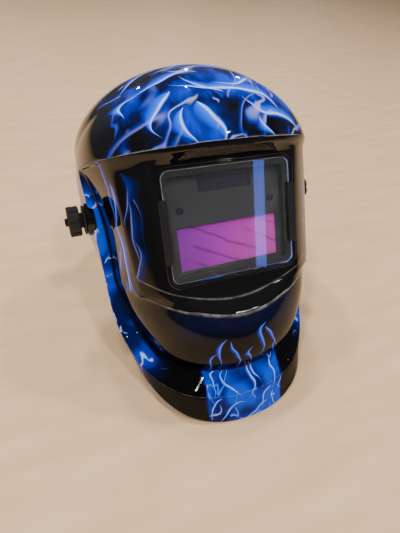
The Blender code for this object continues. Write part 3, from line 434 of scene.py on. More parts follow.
def domePaint():
    finish, shader = newPaint("domePaint", 0.035, 1.52)
    coords = helmetCoords()
    split = parts(flowMap())
    tongues = {"bendScale": 13.0, "bend": 0.055, "stretch": (1.35, 0.9, 0.7), "seed": (3.1, 0.4, 1.7),
               "scale": 24.0, "detail": 0.9, "level": 0.5, "line": 0.02, "glow": 0.12,
               "lean": (-0.004, 0.0, 0.003), "turn": 0.03, "tilt": (0.0, -0.55, 0.0), "gaps": (0.32, 0.5)}
    wisps = {"bendScale": 18.0, "bend": 0.045, "stretch": (1.4, 0.85, 0.6), "seed": (9.2, 5.0, 2.3),
             "scale": 40.0, "detail": 0.9, "level": 0.51, "line": 0.022, "glow": 0.08,
             "lean": (-0.003, 0.0, 0.003), "turn": 0.03, "tilt": (0.0, -0.8, 0.0), "gaps": (0.36, 0.56)}
    body, edge = flames(coords, tongues)
    thinBody, thinEdge = flames(coords, wisps)
    haze = fade(noise(vectorCalc("ADD", coords, (0.7, 0.2, 0.4)), 17.0, 3.0), 0.42, 0.62)
    streaks = noise(vectorCalc("MULTIPLY", coords, (3.0, 1.0, 1.0)), 24.0, 3.0)
    haze = times(haze, fade(streaks, 0.3, 0.65, 0.45, 1.0))
    # strokes placed by distance across, and by distance up from the brow
    place = parts(coords)
    up = scaled(split[1], -0.165, 0.165)
    flat = flatPlace(place[0], up)
    strokeGlow, stroke = licks(wavering(flat, 30.0, 0.016), domeStrokes)
    ragged = scaled(noise(coords, 22.0, 1.0), 0.5, -0.25)
    across = plus(split[0], ragged)
    cover = times(fade(across, -0.66, -0.5), fadeOut(across, 0.86, 1.02))
    body = most(times(body, 0.5), times(thinBody, 0.55))
    body = most(body, times(haze, 0.62))
    body = times(body, cover)
    body = most(body, times(strokeGlow, 0.92))
    edge = times(most(times(edge, 0.2), times(thinEdge, 0.45)), cover)
    edge = most(edge, times(stroke, 0.92))
    colour = flameColour(body, edge)
    # painted highlight: a pale line along the brow edge standing in for the floor's reflection there
    colour = paintedEdgeHighlight(coords, colour, fadeOut(up, 0.0, 0.0016), 0.75)
    glossTop(shader, coords, colour)
    return finish


edgeWisps = {"bendScale": 16.0, "bend": 0.03, "stretch": (1.6, 1.6, 0.55), "seed": (2.5, 6.1, 8.0),
             "scale": 30.0, "detail": 0.8, "level": 0.5, "line": 0.012, "glow": 0.13,
             "lean": (0.0, -0.003, 0.0), "turn": 0.01, "tilt": (0.0, 0.2, 0.0), "gaps": (0.3, 0.5)}
chinStrokes = (
    (-22, -112, 84, 34, 0.2, 0.3, 1.5), (-12, -118, 104, 40, -0.2, 0.3, 1.6),
    (-30, -122, 76, 24, 0.3, 0.2, 1.3), (4, -120, 92, 22, 0.3, 0.3, 1.3),
    (16, -108, 80, 44, 0.16, 0.34, 2.2), (24, -110, 104, 38, -0.24, 0.3, 1.5),
    (31, -122, 86, 22, 0.24, 0.3, 1.2))
bibStrokes = (
    (-26, -146, 70, 30, 0.3, 0.4, 1.5), (-12, -148, 110, 34, 0.3, 0.3, 1.5),
    (2, -150, 84, 34, -0.3, 0.4, 1.7), (14, -144, 96, 30, 0.34, 0.3, 1.5),
    (27, -150, 76, 34, -0.3, 0.3, 1.4), (-30, -172, 60, 26, 0.3, 0.3, 1.4),
    (-16, -178, 30, 30, 0.3, 0.3, 1.6), (4, -180, 12, 34, -0.3, 0.3, 1.5),
    (20, -174, 60, 26, 0.3, 0.3, 1.4), (30, -178, 100, 22, 0.3, 0.3, 1.3))
windowStrokes = (
    (81, 26, 94, 42, 0.08, 0.2, 1.2), (77, -2, 86, 56, -0.1, 0.18, 1.4),
    (82, -30, 98, 50, 0.08, 0.16, 1.2))
besideStrokes = (
    (9, 18, 96, 46, 0.1, 0.16, 1.6), (8, -24, 84, 66, -0.08, 0.14, 1.8),
    (15, -52, 96, 44, 0.1, 0.12, 1.4), (12, -86, 60, 34, 0.14, 0.1, 1.4))


def sidePaint():
    finish, shader = newPaint("sidePaint", 0.04, 1.44)
    coords = helmetCoords()
    place = parts(coords)
    section, station, _ = parts(flowMap())
    ragged = scaled(noise(coords, 60.0, 2.0), 0.5, -0.25)
    # flange band from the ear to the bib
    onFlange = fade(section, 1.0, 1.25)
    alongBand = plus(station, ragged)
    band = times(onFlange, fadeOut(alongBand, 9.2, 10.3))
    # panel in the middle of the bib, and the strip at its edge
    offCentre = sizeOf(place[0])
    edgeX = scaled(ragged, 0.02, offCentre)
    panel = times(fadeOut(edgeX, 0.036, 0.04), fade(section, 0.9, 1.05))
    painted = most(band, panel)
    bolts = {"bendScale": 34.0, "bend": 0.02, "stretch": (1.5, 1.0, 0.8), "seed": (1.2, 7.7, 4.1),
             "scale": 58.0, "detail": 0.8, "level": 0.5, "line": 0.014, "glow": 0.12,
             "lean": (-0.002, 0.0, 0.002), "turn": 0.02, "tilt": (0.0, 0.0, 0.0), "gaps": (0.38, 0.55)}
    body, edge = flames(coords, bolts)
    shade = noise(coords, 26.0, 2.0)
    body = most(body, fade(shade, 0.36, 0.58, 0.24, 0.72))
    body = times(body, painted)
    edge = times(edge, painted)
    # thin tendrils that rise from the panel on to the chin
    front = flatPlace(place[0], place[2])
    strandGlow, strand = licks(wavering(front, 46.0, 0.012), chinStrokes, 5.0)
    rise = fadeOut(section, 0.98, 1.06)
    body = most(body, times(most(strandGlow, strand), times(rise, 0.8)))
    edge = most(edge, times(strand, times(rise, 0.3)))
    bibGlow, bib = licks(wavering(front, 60.0, 0.01), bibStrokes, 5.0)
    body = most(body, times(bibGlow, panel))
    edge = most(edge, times(bib, times(panel, 0.8)))
    # dim wisps behind the window's edge, and a navy shade below the lip
    behind = times(fadeOut(section, 0.5, 0.62), fadeOut(alongBand, 5.6, 6.4))
    wispBody, wispEdge = flames(coords, edgeWisps)
    beside = flatPlace(times(section, 0.04), place[2])
    streakGlow, streak = licks(wavering(beside, 34.0, 0.008), besideStrokes, 8.0)
    wispBody = most(wispBody, times(streakGlow, 1.1))
    body = most(body, times(wispBody, times(behind, 0.75)))
    edge = most(edge, times(wispEdge, times(behind, 0.2)))
    edge = most(edge, times(streak, times(behind, 0.75)))
    under = times(fade(place[2], -0.104, -0.082), fadeOut(offCentre, 0.045, 0.07))
    body = most(body, times(under, 0.07))
    colour = flameColour(body, edge)
    # painted highlights: pale lines along the lip and along the bib's ridge
    lip = times(fadeOut(section, 0.0, 0.045), fade(station, 5.9, 6.4))
    colour = paintedEdgeHighlight(coords, colour, lip, 0.8)
    ridge = fadeOut(sizeOf(minus(section, 2.0)), 0.0, 0.035)
    colour = paintedEdgeHighlight(coords, colour, ridge, 0.3)
    glossTop(shader, coords, colour)
    # the lacquer is thinner and duller below the chin
    feed(shader, "Coat Weight", fade(place[2], -0.125, -0.07, 0.4, 1.0))
    return finish


def windowPaint():
    finish, shader = newPaint("windowPaint", 0.05, 1.5)
    coords = helmetCoords()
    place = parts(coords)
    atEdge = times(fade(sizeOf(place[0]), 0.066, 0.08), fade(place[2], 0.04, 0.02))
    body, edge = flames(coords, edgeWisps)
    front = flatPlace(sizeOf(place[0]), place[2])
    streakGlow, streak = licks(wavering(front, 34.0, 0.01), windowStrokes, 12.0)
    body = times(body, times(atEdge, 0.6))
    body = most(body, times(streakGlow, 0.36))
    edge = times(most(edge, streak), times(atEdge, 0.3))
    colour = flameColour(body, edge)
    # a painted highlight: a pale line just above the lip
    inward = times(place[0], 1.0 / 0.08)
    crest = scaled(times(inward, inward), 0.027, -0.0655)
    crestHighlight = fadeOut(sizeOf(minus(place[2], crest)), 0.0, 0.0011)
    colour = paintedEdgeHighlight(coords, colour, crestHighlight, 0.45)
    glossTop(shader, coords, colour)
    return finish


def clearPlate(name, tint):
    # bends light for the eye, and lets the lamps through to what lies behind it
    finish, shader = newFinish(name, Transmission_Weight=1.0, IOR=1.58)
    shader.inputs["Base Color"].default_value = (*tint, 1.0)
    coords = helmetCoords()
    scratches = noise(vectorCalc("MULTIPLY", coords, (9.0, 1.0, 1.2)), 130.0, 3.0, 0.6)
    feed(shader, "Roughness", fade(scratches, 0.6, 0.8, 0.015, 0.07))
    seeThrough = addNode("BsdfTransparent", {"Color": (*tint, 1.0)})
    rays = addNode("LightPath").outputs["Is Shadow Ray"]
    mixed = addNode("MixShader", {0: rays, 1: shader.outputs[0], 2: seeThrough.outputs[0]})
    feed(tree.nodes["Material Output"], "Surface", mixed.outputs[0])
    return finish


def groundEdge(name):
    finish, shader = newFinish(name, IOR=1.5)
    grit = noise(helmetCoords(), 700.0, 3.0, 0.7)
    feed(shader, "Base Color", ramp(grit, (0.3, (0.3, 0.3, 0.29)), (0.6, (0.85, 0.84, 0.8))))
    feed(shader, "Roughness", fade(grit, 0.3, 0.7, 0.25, 0.55))
    return finish


def filterFace(name):
    finish, shader = newFinish(name, Coat_Weight=0.6, Coat_Roughness=0.02)
    coords = helmetCoords()
    place = parts(coords)
    ripple = scaled(noise(coords, 45.0, 1.0), 0.03, -0.015)
    across = plus(place[0], ripple)
    tint = ramp(fade(across, -0.045, 0.045), (0.0, (0.19, 0.012, 0.27)), (0.45, (0.3, 0.016, 0.33)),
                (1.0, (0.42, 0.045, 0.31)))
    # painted reflections: faint dark slanting bands across the filter's tint
    slant = plus(times(place[0], 0.5), place[2])
    slant = scaled(noise(coords, 70.0, 1.0), 0.006, slant)
    band = sizeOf(calc("SINE", times(slant, 210.0)))
    band = times(fade(band, 0.0, 0.42, 0.6, 0.0), fade(noise(coords, 42.0, 2.0), 0.4, 0.6))
    tint = blendColour(band, tint, (0.05, 0.004, 0.08))
    feed(shader, "Base Color", tint)
    feed(shader, "Roughness", scaled(noise(coords, 120.0, 2.0), 0.1, 0.14))
    return finish


def solarFilm(name):
    finish, shader = newFinish(name, Roughness=0.25, Coat_Weight=1.0, Coat_Roughness=0.05)
    place = parts(helmetCoords())
    cells = calc("FRACT", times(place[0], 1000.0 / 6.5))
    gap = fade(sizeOf(minus(cells, 0.5)), 0.44, 0.48)
    feed(shader, "Base Color", blendColour(gap, (0.014, 0.013, 0.019), (0.02, 0.018, 0.024)))
    return finish


def circuitLaminate(name):
    finish, shader = newFinish(name, Coat_Weight=0.5, Coat_Roughness=0.2)
    coords = helmetCoords()
    tracks = addNode("TexBrick", {"Vector": coords, "Scale": 120.0, "Mortar Size": 0.03})
    feed(shader, "Base Color", blendColour(tracks.outputs["Fac"], (0.01, 0.09, 0.035), (0.03, 0.2, 0.07)))
    feed(shader, "Roughness", fade(noise(coords, 300.0), 0.3, 0.7, 0.35, 0.55))
    return finish


def knitCloth(name):
    finish, shader = newFinish(name, Sheen_Weight=0.5, Sheen_Roughness=0.4)
    coords = helmetCoords()
    loops = addNode("TexVoronoi", {"Vector": vectorCalc("MULTIPLY", coords, (1.0, 1.0, 1.7)),
                                   "Scale": 620.0, "Randomness": 0.35})
    tone = noise(coords, 30.0, 3.0)
    dark = blendColour(fade(loops.outputs["Distance"], 0.1, 0.6), (0.05, 0.05, 0.055), (0.014, 0.014, 0.016))
    feed(shader, "Base Color", blendColour(fade(tone, 0.5, 0.75, 0.0, 0.3), dark, (0.075, 0.075, 0.08)))
    feed(shader, "Roughness", fade(tone, 0.3, 0.7, 0.8, 0.95))
    bumped(shader, loops.outputs["Distance"], 0.6, 0.25 * mm)
    return finish


domeCoat = domePaint()
sideCoat = sidePaint()
windowCoat = windowPaint()
insideFinish = mouldedPlastic("insideBlack", (0.012, 0.012, 0.013), 0.55, 500.0, 0.35)
trimFinish = mouldedPlastic("trimPlastic", (0.012, 0.012, 0.013), 0.38)
knobFinish = mouldedPlastic("knobPlastic", (0.016, 0.016, 0.017), 0.6, 700.0, 0.5, 0.08)
caseFinish = mouldedPlastic("casePlastic", (0.02, 0.02, 0.023), 0.5, 1100.0, 0.15, 0.09)
bandFinish = mouldedPlastic("bandPlastic", (0.02, 0.02, 0.021), 0.48, 800.0, 0.3)
sensorFinish = mouldedPlastic("sensorEpoxy", (0.02, 0.008, 0.025), 0.14, 200.0, 0.05)
steelFinish = platedSteel("platedSteel")
lensFinish = clearPlate("clearLens", (0.86, 0.88, 0.88))
edgeFinish = groundEdge("lensEdge")
filterFinish = filterFace("filterGlass")
solarFinish = solarFilm("solarFilm")
boardFinish = circuitLaminate("circuitLaminate")
padFinish = knitCloth("sweatCloth")
shellFinishes = [domeCoat, sideCoat, windowCoat, insideFinish, insideFinish, insideFinish]
print("finishes made")


# shell
shellShape = {
    "earY": 95.0, "earZ": 50.0, "domeDepth": 110.0, "domeRise": 84.5, "halfWidth": 107.5,
    "wall": 2.4, "chinDrop": 187.5, "rearRise": 108.0, "browRise": 8.0,
    "lens": (110.0, 90.0), "lensCorner": 6.5, "lensPlay": 0.5, "frameRim": 4.5, "faceY": -0.6,
    "edge": (86.5, 22.0), "lipEnd": (80.0, 14.3, -50.0), "lipMiddle": (-13.5, -77.0), "ledgeZ": -63.0,
    "pivot": (85.0, 8.0), "bossRadius": 15.0, "bossFace": 108.0, "bossDepth": 7.5, "bore": 4.3,
    "boreReach": 14.0, "creaseAngle": 27, "crease": 0.72, "flangeCrease": 0.55, "edgeRound": 0.8,
    "domeRows": 18, "frameColumns": 8, "edgeColumns": 5, "lipStation": 6, "chinStation": 12,
}
frameHalf = shellShape["lens"][0] / 2 + shellShape["frameRim"] + shellShape["lensPlay"]
frameTop = shellShape["lens"][1] / 2 + shellShape["frameRim"] + shellShape["lensPlay"]
# lines down the side wall, under the chin and up the other side, from the brow to the middle of the chin
sideLines = {
    "belly": ((98.0, 44, 56), (96.5, 45, 50), (92.5, 46, 31), (91.0, 46, 10), (90.0, 43, -11),
              (90.5, 42, -32), (90.5, 38, -50), (89.5, 33, -67), (85, 16, -82), (73, 0, -100),
              (58, -9, -112), (33, -18, -118), (0, -22, -118)),
    "crease": ((106.4, 76, 53), (103.2, 76, 49), (97.6, 74, 31), (93.2, 71, 10), (91.8, 71, -11),
               (92.3, 72, -33), (92.3, 66, -50), (89, 62, -69), (83, 57, -88), (76, 49, -106),
               (66, 33, -122), (42, 15, -133.5), (0, 3, -136)),
    "ridge": ((106.8, 80, 52), (107.0, 80, 48), (105.7, 77, 31), (104.2, 72.5, 10), (103, 73.5, -12),
              (101.8, 73, -34), (101.9, 67, -53), (101.4, 62, -75), (98.3, 57, -96), (92.3, 48, -114),
              (79, 30, -138), (50, 6, -154), (0, -3, -160)),
    "rim": ((107.5, 107, 50), (108.2, 107.2, 46), (108.6, 107, 30), (108.2, 107, 9), (105, 106.5, -14),
            (101, 105, -37), (98.5, 100, -60), (97, 90, -84), (94.5, 76, -106), (89, 60, -128),
            (80, 36, -151), (55, 9, -175), (0, 0, -193)),
}
sideTurns = [49.9 + 30.9 * k / 6 for k in range(7)] + [81.6] + [82.4 + 7.6 * k / 4 for k in range(5)]
sectionMarks = [k / 6 for k in range(7)] + [1.5] + [2 + k / 4 for k in range(5)]


def domePoint(rise, turn):
    share = (rise - shellShape["browRise"]) / (shellShape["rearRise"] - shellShape["browRise"])
    roundness = 2.68 - 0.68 * min(1.0, share / 0.5)
    tilt, angle = math.radians(rise), math.radians(min(turn, 90.0))
    frontY = shellShape["earY"] - shellShape["domeDepth"] * math.cos(tilt)
    frontZ = shellShape["earZ"] + shellShape["domeRise"] * math.sin(tilt)
    sideY = shellShape["earY"] + 12.0 + 5.0 * share
    sideZ = shellShape["earZ"] + 13.0 * share
    ahead = max(math.cos(angle), 0.0) ** (2 / roundness) if turn < 89.9 else 0.0
    return np.array(((shellShape["halfWidth"] - 2.2 * share) * math.sin(angle) ** (2 / roundness),
                     sideY + (frontY - sideY) * ahead, sideZ + (frontZ - sideZ) * ahead))


def sidePoint(line, station):
    keys = [np.array(point, dtype=float) for point in sideLines[line]]
    keys = [2 * keys[0] - keys[1], *keys, keys[-2] * (-1, 1, 1)]
    k = min(int(station), shellShape["chinStation"] - 1)
    return curvePoint(keys[k:k + 4], station - k)


def surroundRow(z):
    drop = min(max((z - 50.0) / -100.0, 0.0), 1.0)
    edgeX = shellShape["edge"][0] + (shellShape["lipEnd"][0] - shellShape["edge"][0]) * drop ** 1.6
    edgeY = shellShape["edge"][1] + (shellShape["lipEnd"][1] - shellShape["edge"][1]) * drop ** 1.6
    row = [np.array((frameHalf * k / shellShape["frameColumns"], shellShape["faceY"], z))
           for k in range(shellShape["frameColumns"])]
    for k in range(shellShape["edgeColumns"] + 1):
        out = k / shellShape["edgeColumns"]
        row.append(np.array((frameHalf + (edgeX - frameHalf) * out,
                             shellShape["faceY"] + (edgeY - shellShape["faceY"]) * out ** 1.25, z)))
    return row


def windowRows():
    columns = shellShape["frameColumns"] + shellShape["edgeColumns"]
    browX = [shellShape["halfWidth"] * math.sin(math.radians(sideTurns[0])) ** (2 / 2.68) * k / columns
             for k in range(columns + 1)]
    turns = [math.degrees(math.asin((x / shellShape["halfWidth"]) ** 1.34)) for x in browX]
    top = surroundRow(frameTop)
    crest = [domePoint(shellShape["browRise"], turn) for turn in turns]
    rows = [crest]
    for share, back, down in ((1 / 3, 0.4, 3.6), (2 / 3, 3.6, 5.9)):
        row = []
        for k, (high, low) in enumerate(zip(crest, top)):
            mix = (k / columns) ** 2
            row.append((high + (0.0, back, -down)) * (1 - mix) + (high + (low - high) * share) * mix)
        rows.append(row)
    rows += [surroundRow(frameTop * share) for share in (1.0, 0.92, 0.5, 0.0, -0.5, -0.92, -1.0)]
    endX, endY, endZ = shellShape["lipEnd"]
    midY, midZ = shellShape["lipMiddle"]
    ledge, lip = [], []
    for x in [point[0] for point in rows[-1]]:
        out = x / endX
        past = max(0.0, (x - frameHalf) / (endX - frameHalf))
        ledge.append(np.array((x, shellShape["faceY"] + (endY - shellShape["faceY"]) * past ** 1.25,
                               shellShape["ledgeZ"] + (endZ - 1.5 - shellShape["ledgeZ"]) * out ** 2)))
        lip.append(np.array((x, midY + (endY - midY) * out ** 2.2, midZ + (endZ - 3.0 - midZ) * out ** 1.6)))
    between = [0.45 * a + 0.55 * b + (0.0, 0.0, 1 - (a[0] / endX) ** 2) for a, b in zip(ledge, lip)]
    return rows + [ledge, between, lip], turns


def stripSection(inner, station):
    belly, crease, ridge, rim = [sidePoint(line, station) for line in ("belly", "crease", "ridge", "rim")]
    rim[2] = max(rim[2], -shellShape["chinDrop"])
    points = [inner * (1 - t) ** 2 + belly * 2 * t * (1 - t) + crease * t * t for t in sectionMarks[:7]]
    points.append((crease + ridge) / 2)
    return points + [ridge + (rim - ridge) * (t - 2) for t in sectionMarks[8:]]


def stationOf(edge, k, last):
    if k == last:
        return float(shellShape["lipStation"])
    if edge[2] > 50.0:
        return (58.5 - edge[2]) / 8.5
    return min(1.0 + (50.0 - edge[2]) / 20.0, shellShape["lipStation"] - 0.1 * (last - k))


def wholeRow(half):
    return [point * (-1, 1, 1) for point in half[:0:-1]] + list(half)


def softenFlange(shell):
    # the flange's two lines round over more than the brow and the lip do
    creases = shell.data.attributes["crease_edge"].data
    flow = shell.data.uv_layers["flow"].uv
    onFlange = set()
    for face in shell.data.polygons:
        if face.material_index == 1:
            for corner in face.loop_indices:
                if flow[corner].vector.x > 0.95:
                    onFlange.add(shell.data.loops[corner].vertex_index)
    atEar = {corner.vertex_index for corner in shell.data.loops
             if flow[corner.index].vector.x > 0.05 and shell.data.vertices[corner.vertex_index].co.z > 48 * mm
             and abs(shell.data.vertices[corner.vertex_index].co.x) > 87 * mm}
    for edge in shell.data.edges:
        first, second = edge.vertices
        if first in atEar and second in atEar:
            creases[edge.index].value = 0.0
        elif first in onFlange and second in onFlange:
            creases[edge.index].value *= shellShape["flangeCrease"]


def makeShell():
    rows, turns = windowRows()
    turns = turns + sideTurns[1:]
    count = shellShape["domeRows"]
    rises = [shellShape["rearRise"] + (shellShape["browRise"] - shellShape["rearRise"]) * k / count
             for k in range(count + 1)]
    allTurns = [-turn for turn in turns[:0:-1]] + turns
    dome = sheet("dome", [wholeRow([domePoint(rise, turn) for turn in turns]) for rise in rises], False,
                 [[(turn / 90, k / count) for turn in allTurns] for k in range(count + 1)])
    window = sheet("window", [wholeRow(row) for row in rows], False)
    brow = [domePoint(shellShape["browRise"], turn) for turn in sideTurns]
    last = len(rows) - 1
    half, stations = [brow], [0.0]
    for k in range(1, last + 1):
        stations.append(stationOf(rows[k][-1], k, last))
        half.append(stripSection(rows[k][-1], stations[-1]))
    columns = len(rows[-1]) - 1
    span = shellShape["chinStation"] - shellShape["lipStation"]
    for k in range(columns - 1, -1, -1):
        stations.append(shellShape["chinStation"] - span * (k / columns) ** 1.15)
        half.append(stripSection(rows[-1][k], stations[-1]))
    left = [[point * (-1, 1, 1) for point in section] for section in half]
    marks = stations + stations[-2::-1]
    strip = sheet("strip", half + left[-2::-1], False,
                  [[(mark, station) for mark in sectionMarks] for station in marks])
    for slotIndex, piece in enumerate((dome, strip, window)):
        coat(piece, shellFinishes, slotIndex)
    shell = joined([dome, strip, window], "shellSkin")
    closeUp(shell)
    editAll(shell)
    bpy.ops.mesh.select_all(action="DESELECT")
    bpy.ops.mesh.select_mode(type="EDGE")
    bpy.ops.mesh.edges_select_sharp(sharpness=math.radians(shellShape["creaseAngle"]))
    bpy.ops.transform.edge_crease(value=shellShape["crease"])
    bpy.ops.object.mode_set(mode="OBJECT")
    softenFlange(shell)
    applyModifier(shell, "SUBSURF", levels=2, render_levels=2)
    centre = Vector((0.0, shellShape["earY"] * mm, 0.0))
    outwards = sum((face.center - centre).dot(face.normal) for face in shell.data.polygons)
    if outwards < 0:
        turnFaces(shell)
    applyModifier(shell, "SOLIDIFY", thickness=shellShape["wall"] * mm, offset=-1.0, use_even_offset=True,
                  thickness_clamp=1.0, material_offset=3, material_offset_rim=0)
    applyModifier(shell, "BEVEL", width=shellShape["edgeRound"] * mm, segments=3, limit_method="ANGLE",
                  angle_limit=math.radians(60))
    pivotY, pivotZ = shellShape["pivot"]
    cuts = (("UNION", shellShape["bossRadius"], -shellShape["bossDepth"], 0.0),
            ("DIFFERENCE", shellShape["bore"], -shellShape["boreReach"], shellShape["boreReach"]))
    for sign in (-1, 1):
        sideways = Matrix.Rotation(sign * math.pi / 2, 4, "Y")
        for kind, r, near, far in cuts:
            letGo()
            bpy.ops.mesh.primitive_cylinder_add(vertices=64, radius=r * mm, depth=(far - near) * mm)
            cutter = bpy.context.object
            coat(cutter, shellFinishes[:3], 2)
            if kind == "UNION":
                applyModifier(cutter, "BEVEL", width=0.7 * mm, segments=3, limit_method="ANGLE")
            middle = sign * (shellShape["bossFace"] + (near + far) / 2)
            place = Matrix.Translation((middle * mm, pivotY * mm, pivotZ * mm))
            cutter.data.transform(place @ sideways)
            boolean(shell, cutter, kind)
    play = shellShape["lensPlay"]
    width, height = [side + 2 * play for side in shellShape["lens"]]
    outline = roundedOutline(width, height, shellShape["lensCorner"] + play)
    opening = [p for p, _ in outline] + [outline[0][0]]
    rings = [[(0.0, y, 0.0) if flat else (x, y, z) for x, z in opening]
             for y, flat in ((-20, True), (-20, False), (20, False), (20, True))]
    boolean(shell, sheet("openingCutter", rings), "DIFFERENCE")
    shell.data.update()
    rounded(shell, 38)
    return shell


shell = makeShell()
settle(shell, shellFinishes, "helmet", "shell", "shell")
print("shell", len(shell.data.polygons), "faces")


# window: bezel, cover lens and clips
bezelShape = {
    # distance out from the lens edge and depth, round the ring's section
    "section": ((0.55, 1.4), (0.55, -1.0), (0.7, -1.35), (1.0, -1.5), (1.5, -1.5), (1.8, -1.35), (1.95, -1.0),
                (2.1, -0.85), (2.6, -0.85), (2.8, -1.0), (2.95, -1.25), (3.2, -1.35), (3.6, -1.35),
                (3.9, -1.2), (4.3, -0.8), (4.6, -0.5), (4.6, 0.2), (2.6, 0.4)),
    "clip": {"x": 56.1, "z": -1.5, "width": 6.6, "length": 51.0, "thick": 1.6, "back": -0.9, "corner": 1.5,
             "edge": 0.6},
}


def ringRound(name, width, height, radius, section, steps=10):
    rows = []
    outline = roundedOutline(width, height, radius, steps)
    for (x, z), (nx, nz) in outline + outline[:1]:
        rows.append([(x + nx * out, y, z + nz * out) for out, y in (*section, section[0])])
    return sheet(name, rows)


def plate(name, width, height, radius, near, far, edge, centre=(0.0, 0.0), steps=10):
    # flat plate across the window with a rounded front edge
    outline = roundedOutline(width, height, radius, steps)
    outline = outline + outline[:1]
    cx, cz = centre
    rows = [[(cx, near, cz)] * len(outline)]
    for turn in range(5):
        angle = math.pi / 2 * turn / 4
        inset = edge * (1 - math.sin(angle))
        rows.append([(cx + x - nx * inset, near + edge * (1 - math.cos(angle)), cz + z - nz * inset)
                     for (x, z), (nx, nz) in outline])
    rows.append([(cx + x, far, cz + z) for (x, z), _ in outline])
    rows.append([(cx, far, cz)] * len(outline))
    return sheet(name, rows)


bezel = ringRound("windowBezel", *shellShape["lens"], shellShape["lensCorner"], bezelShape["section"])
rounded(bezel, 50)
settle(bezel, windowCoat, "helmet", "shell")

lens = plate("coverLens", *shellShape["lens"], shellShape["lensCorner"], 0.0, 1.0, 0.6, steps=12)
rounded(lens, 10)
settle(lens, [lensFinish, edgeFinish], "helmet", "clear_plate", "cover_lens_outer")
for face in lens.data.polygons:
    face.material_index = 0 if abs(face.normal.dot(lensAxis)) > 0.97 else 1

clipShape = bezelShape["clip"]
for side, sign in (("left", -1), ("right", 1)):
    clip = plate("lensClip_" + side, clipShape["width"], clipShape["length"], clipShape["corner"],
                 clipShape["back"] - clipShape["thick"], clipShape["back"], clipShape["edge"],
                 (sign * clipShape["x"], clipShape["z"]), 5)
    rounded(clip, 40)
    settle(clip, trimFinish, "helmet", "trim", "lens_clip_" + side)
print("window made")


# pivot knobs and washers
def turned(name, profile, steps=48, lobes=0, depth=0.0, sharpness=2.0):
    # turned about X from (radius, x) points, its rim cut by lobes where a third value says so
    rows = []
    for k in range(steps + 1):
        angle = math.tau * k / steps
        swing = (1 - abs(math.sin(lobes * angle / 2))) ** sharpness if lobes else 0.0
        row = []
        for point in profile:
            radius, x = point[:2]
            share = point[2] if len(point) > 2 else 0.0
            r = radius - depth * swing * share
            row.append((x, r * math.cos(angle), r * math.sin(angle)))
        rows.append(row)
    return sheet(name, rows)


knobShape = {
    "washerX": 108.3, "washer": 13.5, "washerThick": 2.2, "neck": 7.0, "neckX": 110.8, "radius": 14.0,
    "near": 113.2, "far": 123.7, "lobes": 8, "lobeDepth": 1.9, "bolt": 4.0, "play": 0.3, "head": 9.0,
    "headNear": 77.3, "headFar": 80.2, "threadFrom": 104.0, "pitch": 1.25, "boltEnd": 126.5,
}


def softRim(radius, near, far, edge, count=4, lobed=1.0):
    # profile over a rounded edge, then along the rim and over the other edge
    points = []
    for k in range(count + 1):
        angle = math.pi / 2 * k / count
        points.append((radius - edge + edge * math.sin(angle), near + edge - edge * math.cos(angle), lobed))
    for k in range(count + 1):
        angle = math.pi / 2 * k / count
        points.append((radius - edge + edge * math.cos(angle), far - edge + edge * math.sin(angle), lobed))
    return points


def pivotKnob():
    s = knobShape
    bore = s["bolt"] + s["play"]
    profile = [(bore, s["neckX"]), (s["neck"] - 0.3, s["neckX"]), (s["neck"], s["neckX"] + 0.3),
               (s["neck"], s["near"] - 0.4), (s["neck"] + 0.4, s["near"]),
               *softRim(s["radius"], s["near"], s["far"], 1.3),
               (s["radius"] - 3.2, s["far"], 0.6), (s["radius"] - 3.8, s["far"] - 0.7, 0.3),
               (7.2, s["far"] - 0.7), (6.6, s["far"] - 0.1), (5.2, s["far"] - 0.1), (bore, s["far"] - 0.6),
               (bore, s["neckX"])]
    return turned("pivotKnob", profile, 96, s["lobes"], s["lobeDepth"])


def pivotWasher():
    s = knobShape
    near, far = s["washerX"], s["washerX"] + s["washerThick"]
    bore = s["bolt"] + s["play"]
    profile = [(bore, near), *softRim(s["washer"], near, far, 0.6, 3, 0.0), (9.5, far), (9.2, far - 0.3),
               (8.0, far - 0.3), (7.7, far), (bore, far), (bore, near)]
    return turned("pivotWasher", profile, 64)


def boltShank():
    s = knobShape
    near = s["headNear"]
    profile = [(0.0, near), (s["head"] - 0.6, near), (s["head"], near + 0.6), (s["head"], s["headFar"]),
               (s["bolt"], s["headFar"]), (s["bolt"], s["threadFrom"])]
    x = s["threadFrom"]
    while x < s["boltEnd"] - 1.6:
        profile += [(s["bolt"] - 0.45, x + 0.35 * s["pitch"]), (s["bolt"] - 0.02, x + 0.85 * s["pitch"])]
        x += s["pitch"]
    profile += [(s["bolt"] - 0.8, s["boltEnd"]), (0.0, s["boltEnd"])]
    return turned("pivotBolt", profile, 40)


def bothSides(maker, nodeName, finish, bodyName, slotName, angle=35):
    pivotY, pivotZ = shellShape["pivot"]
    for side, turn in (("left", math.pi), ("right", 0.0)):
        piece = maker()
        piece.name = piece.name.split(".")[0] + "_" + side
        place = Matrix.Translation((0.0, pivotY * mm, pivotZ * mm))
        piece.data.transform(place @ Matrix.Rotation(turn, 4, "Z"))
        rounded(piece, angle)
        settle(piece, finish, bodyName.replace("SIDE", side), slotName, nodeName + side)


bothSides(pivotKnob, "pivot_knob_", knobFinish, "knob_SIDE", "knob", 30)
bothSides(pivotWasher, "pivot_washer_", trimFinish, "carriage", "trim")
bothSides(boltShank, "pivot_bolt_", trimFinish, "carriage", "trim", 25)
print("pivots made")


# headgear
bandShape = {
    "tilt": 18.0, "centre": (154.0, 7.5), "halfWidth": 78.0, "halfLength": 100.0, "height": 28.0,
    "thick": 1.6,
    "keys": ((0.0, -1.0), (0.385, -0.955), (0.70, -0.80), (0.90, -0.50), (1.0, -0.05), (0.98, 0.38),
             (0.86, 0.70), (0.66, 0.88), (0.49, 0.945)),
    "tailX": 24.0, "rows": 14, "slotEvery": 8, "slotLength": 5, "slotReach": 45, "slotRows": (3, 10),
}


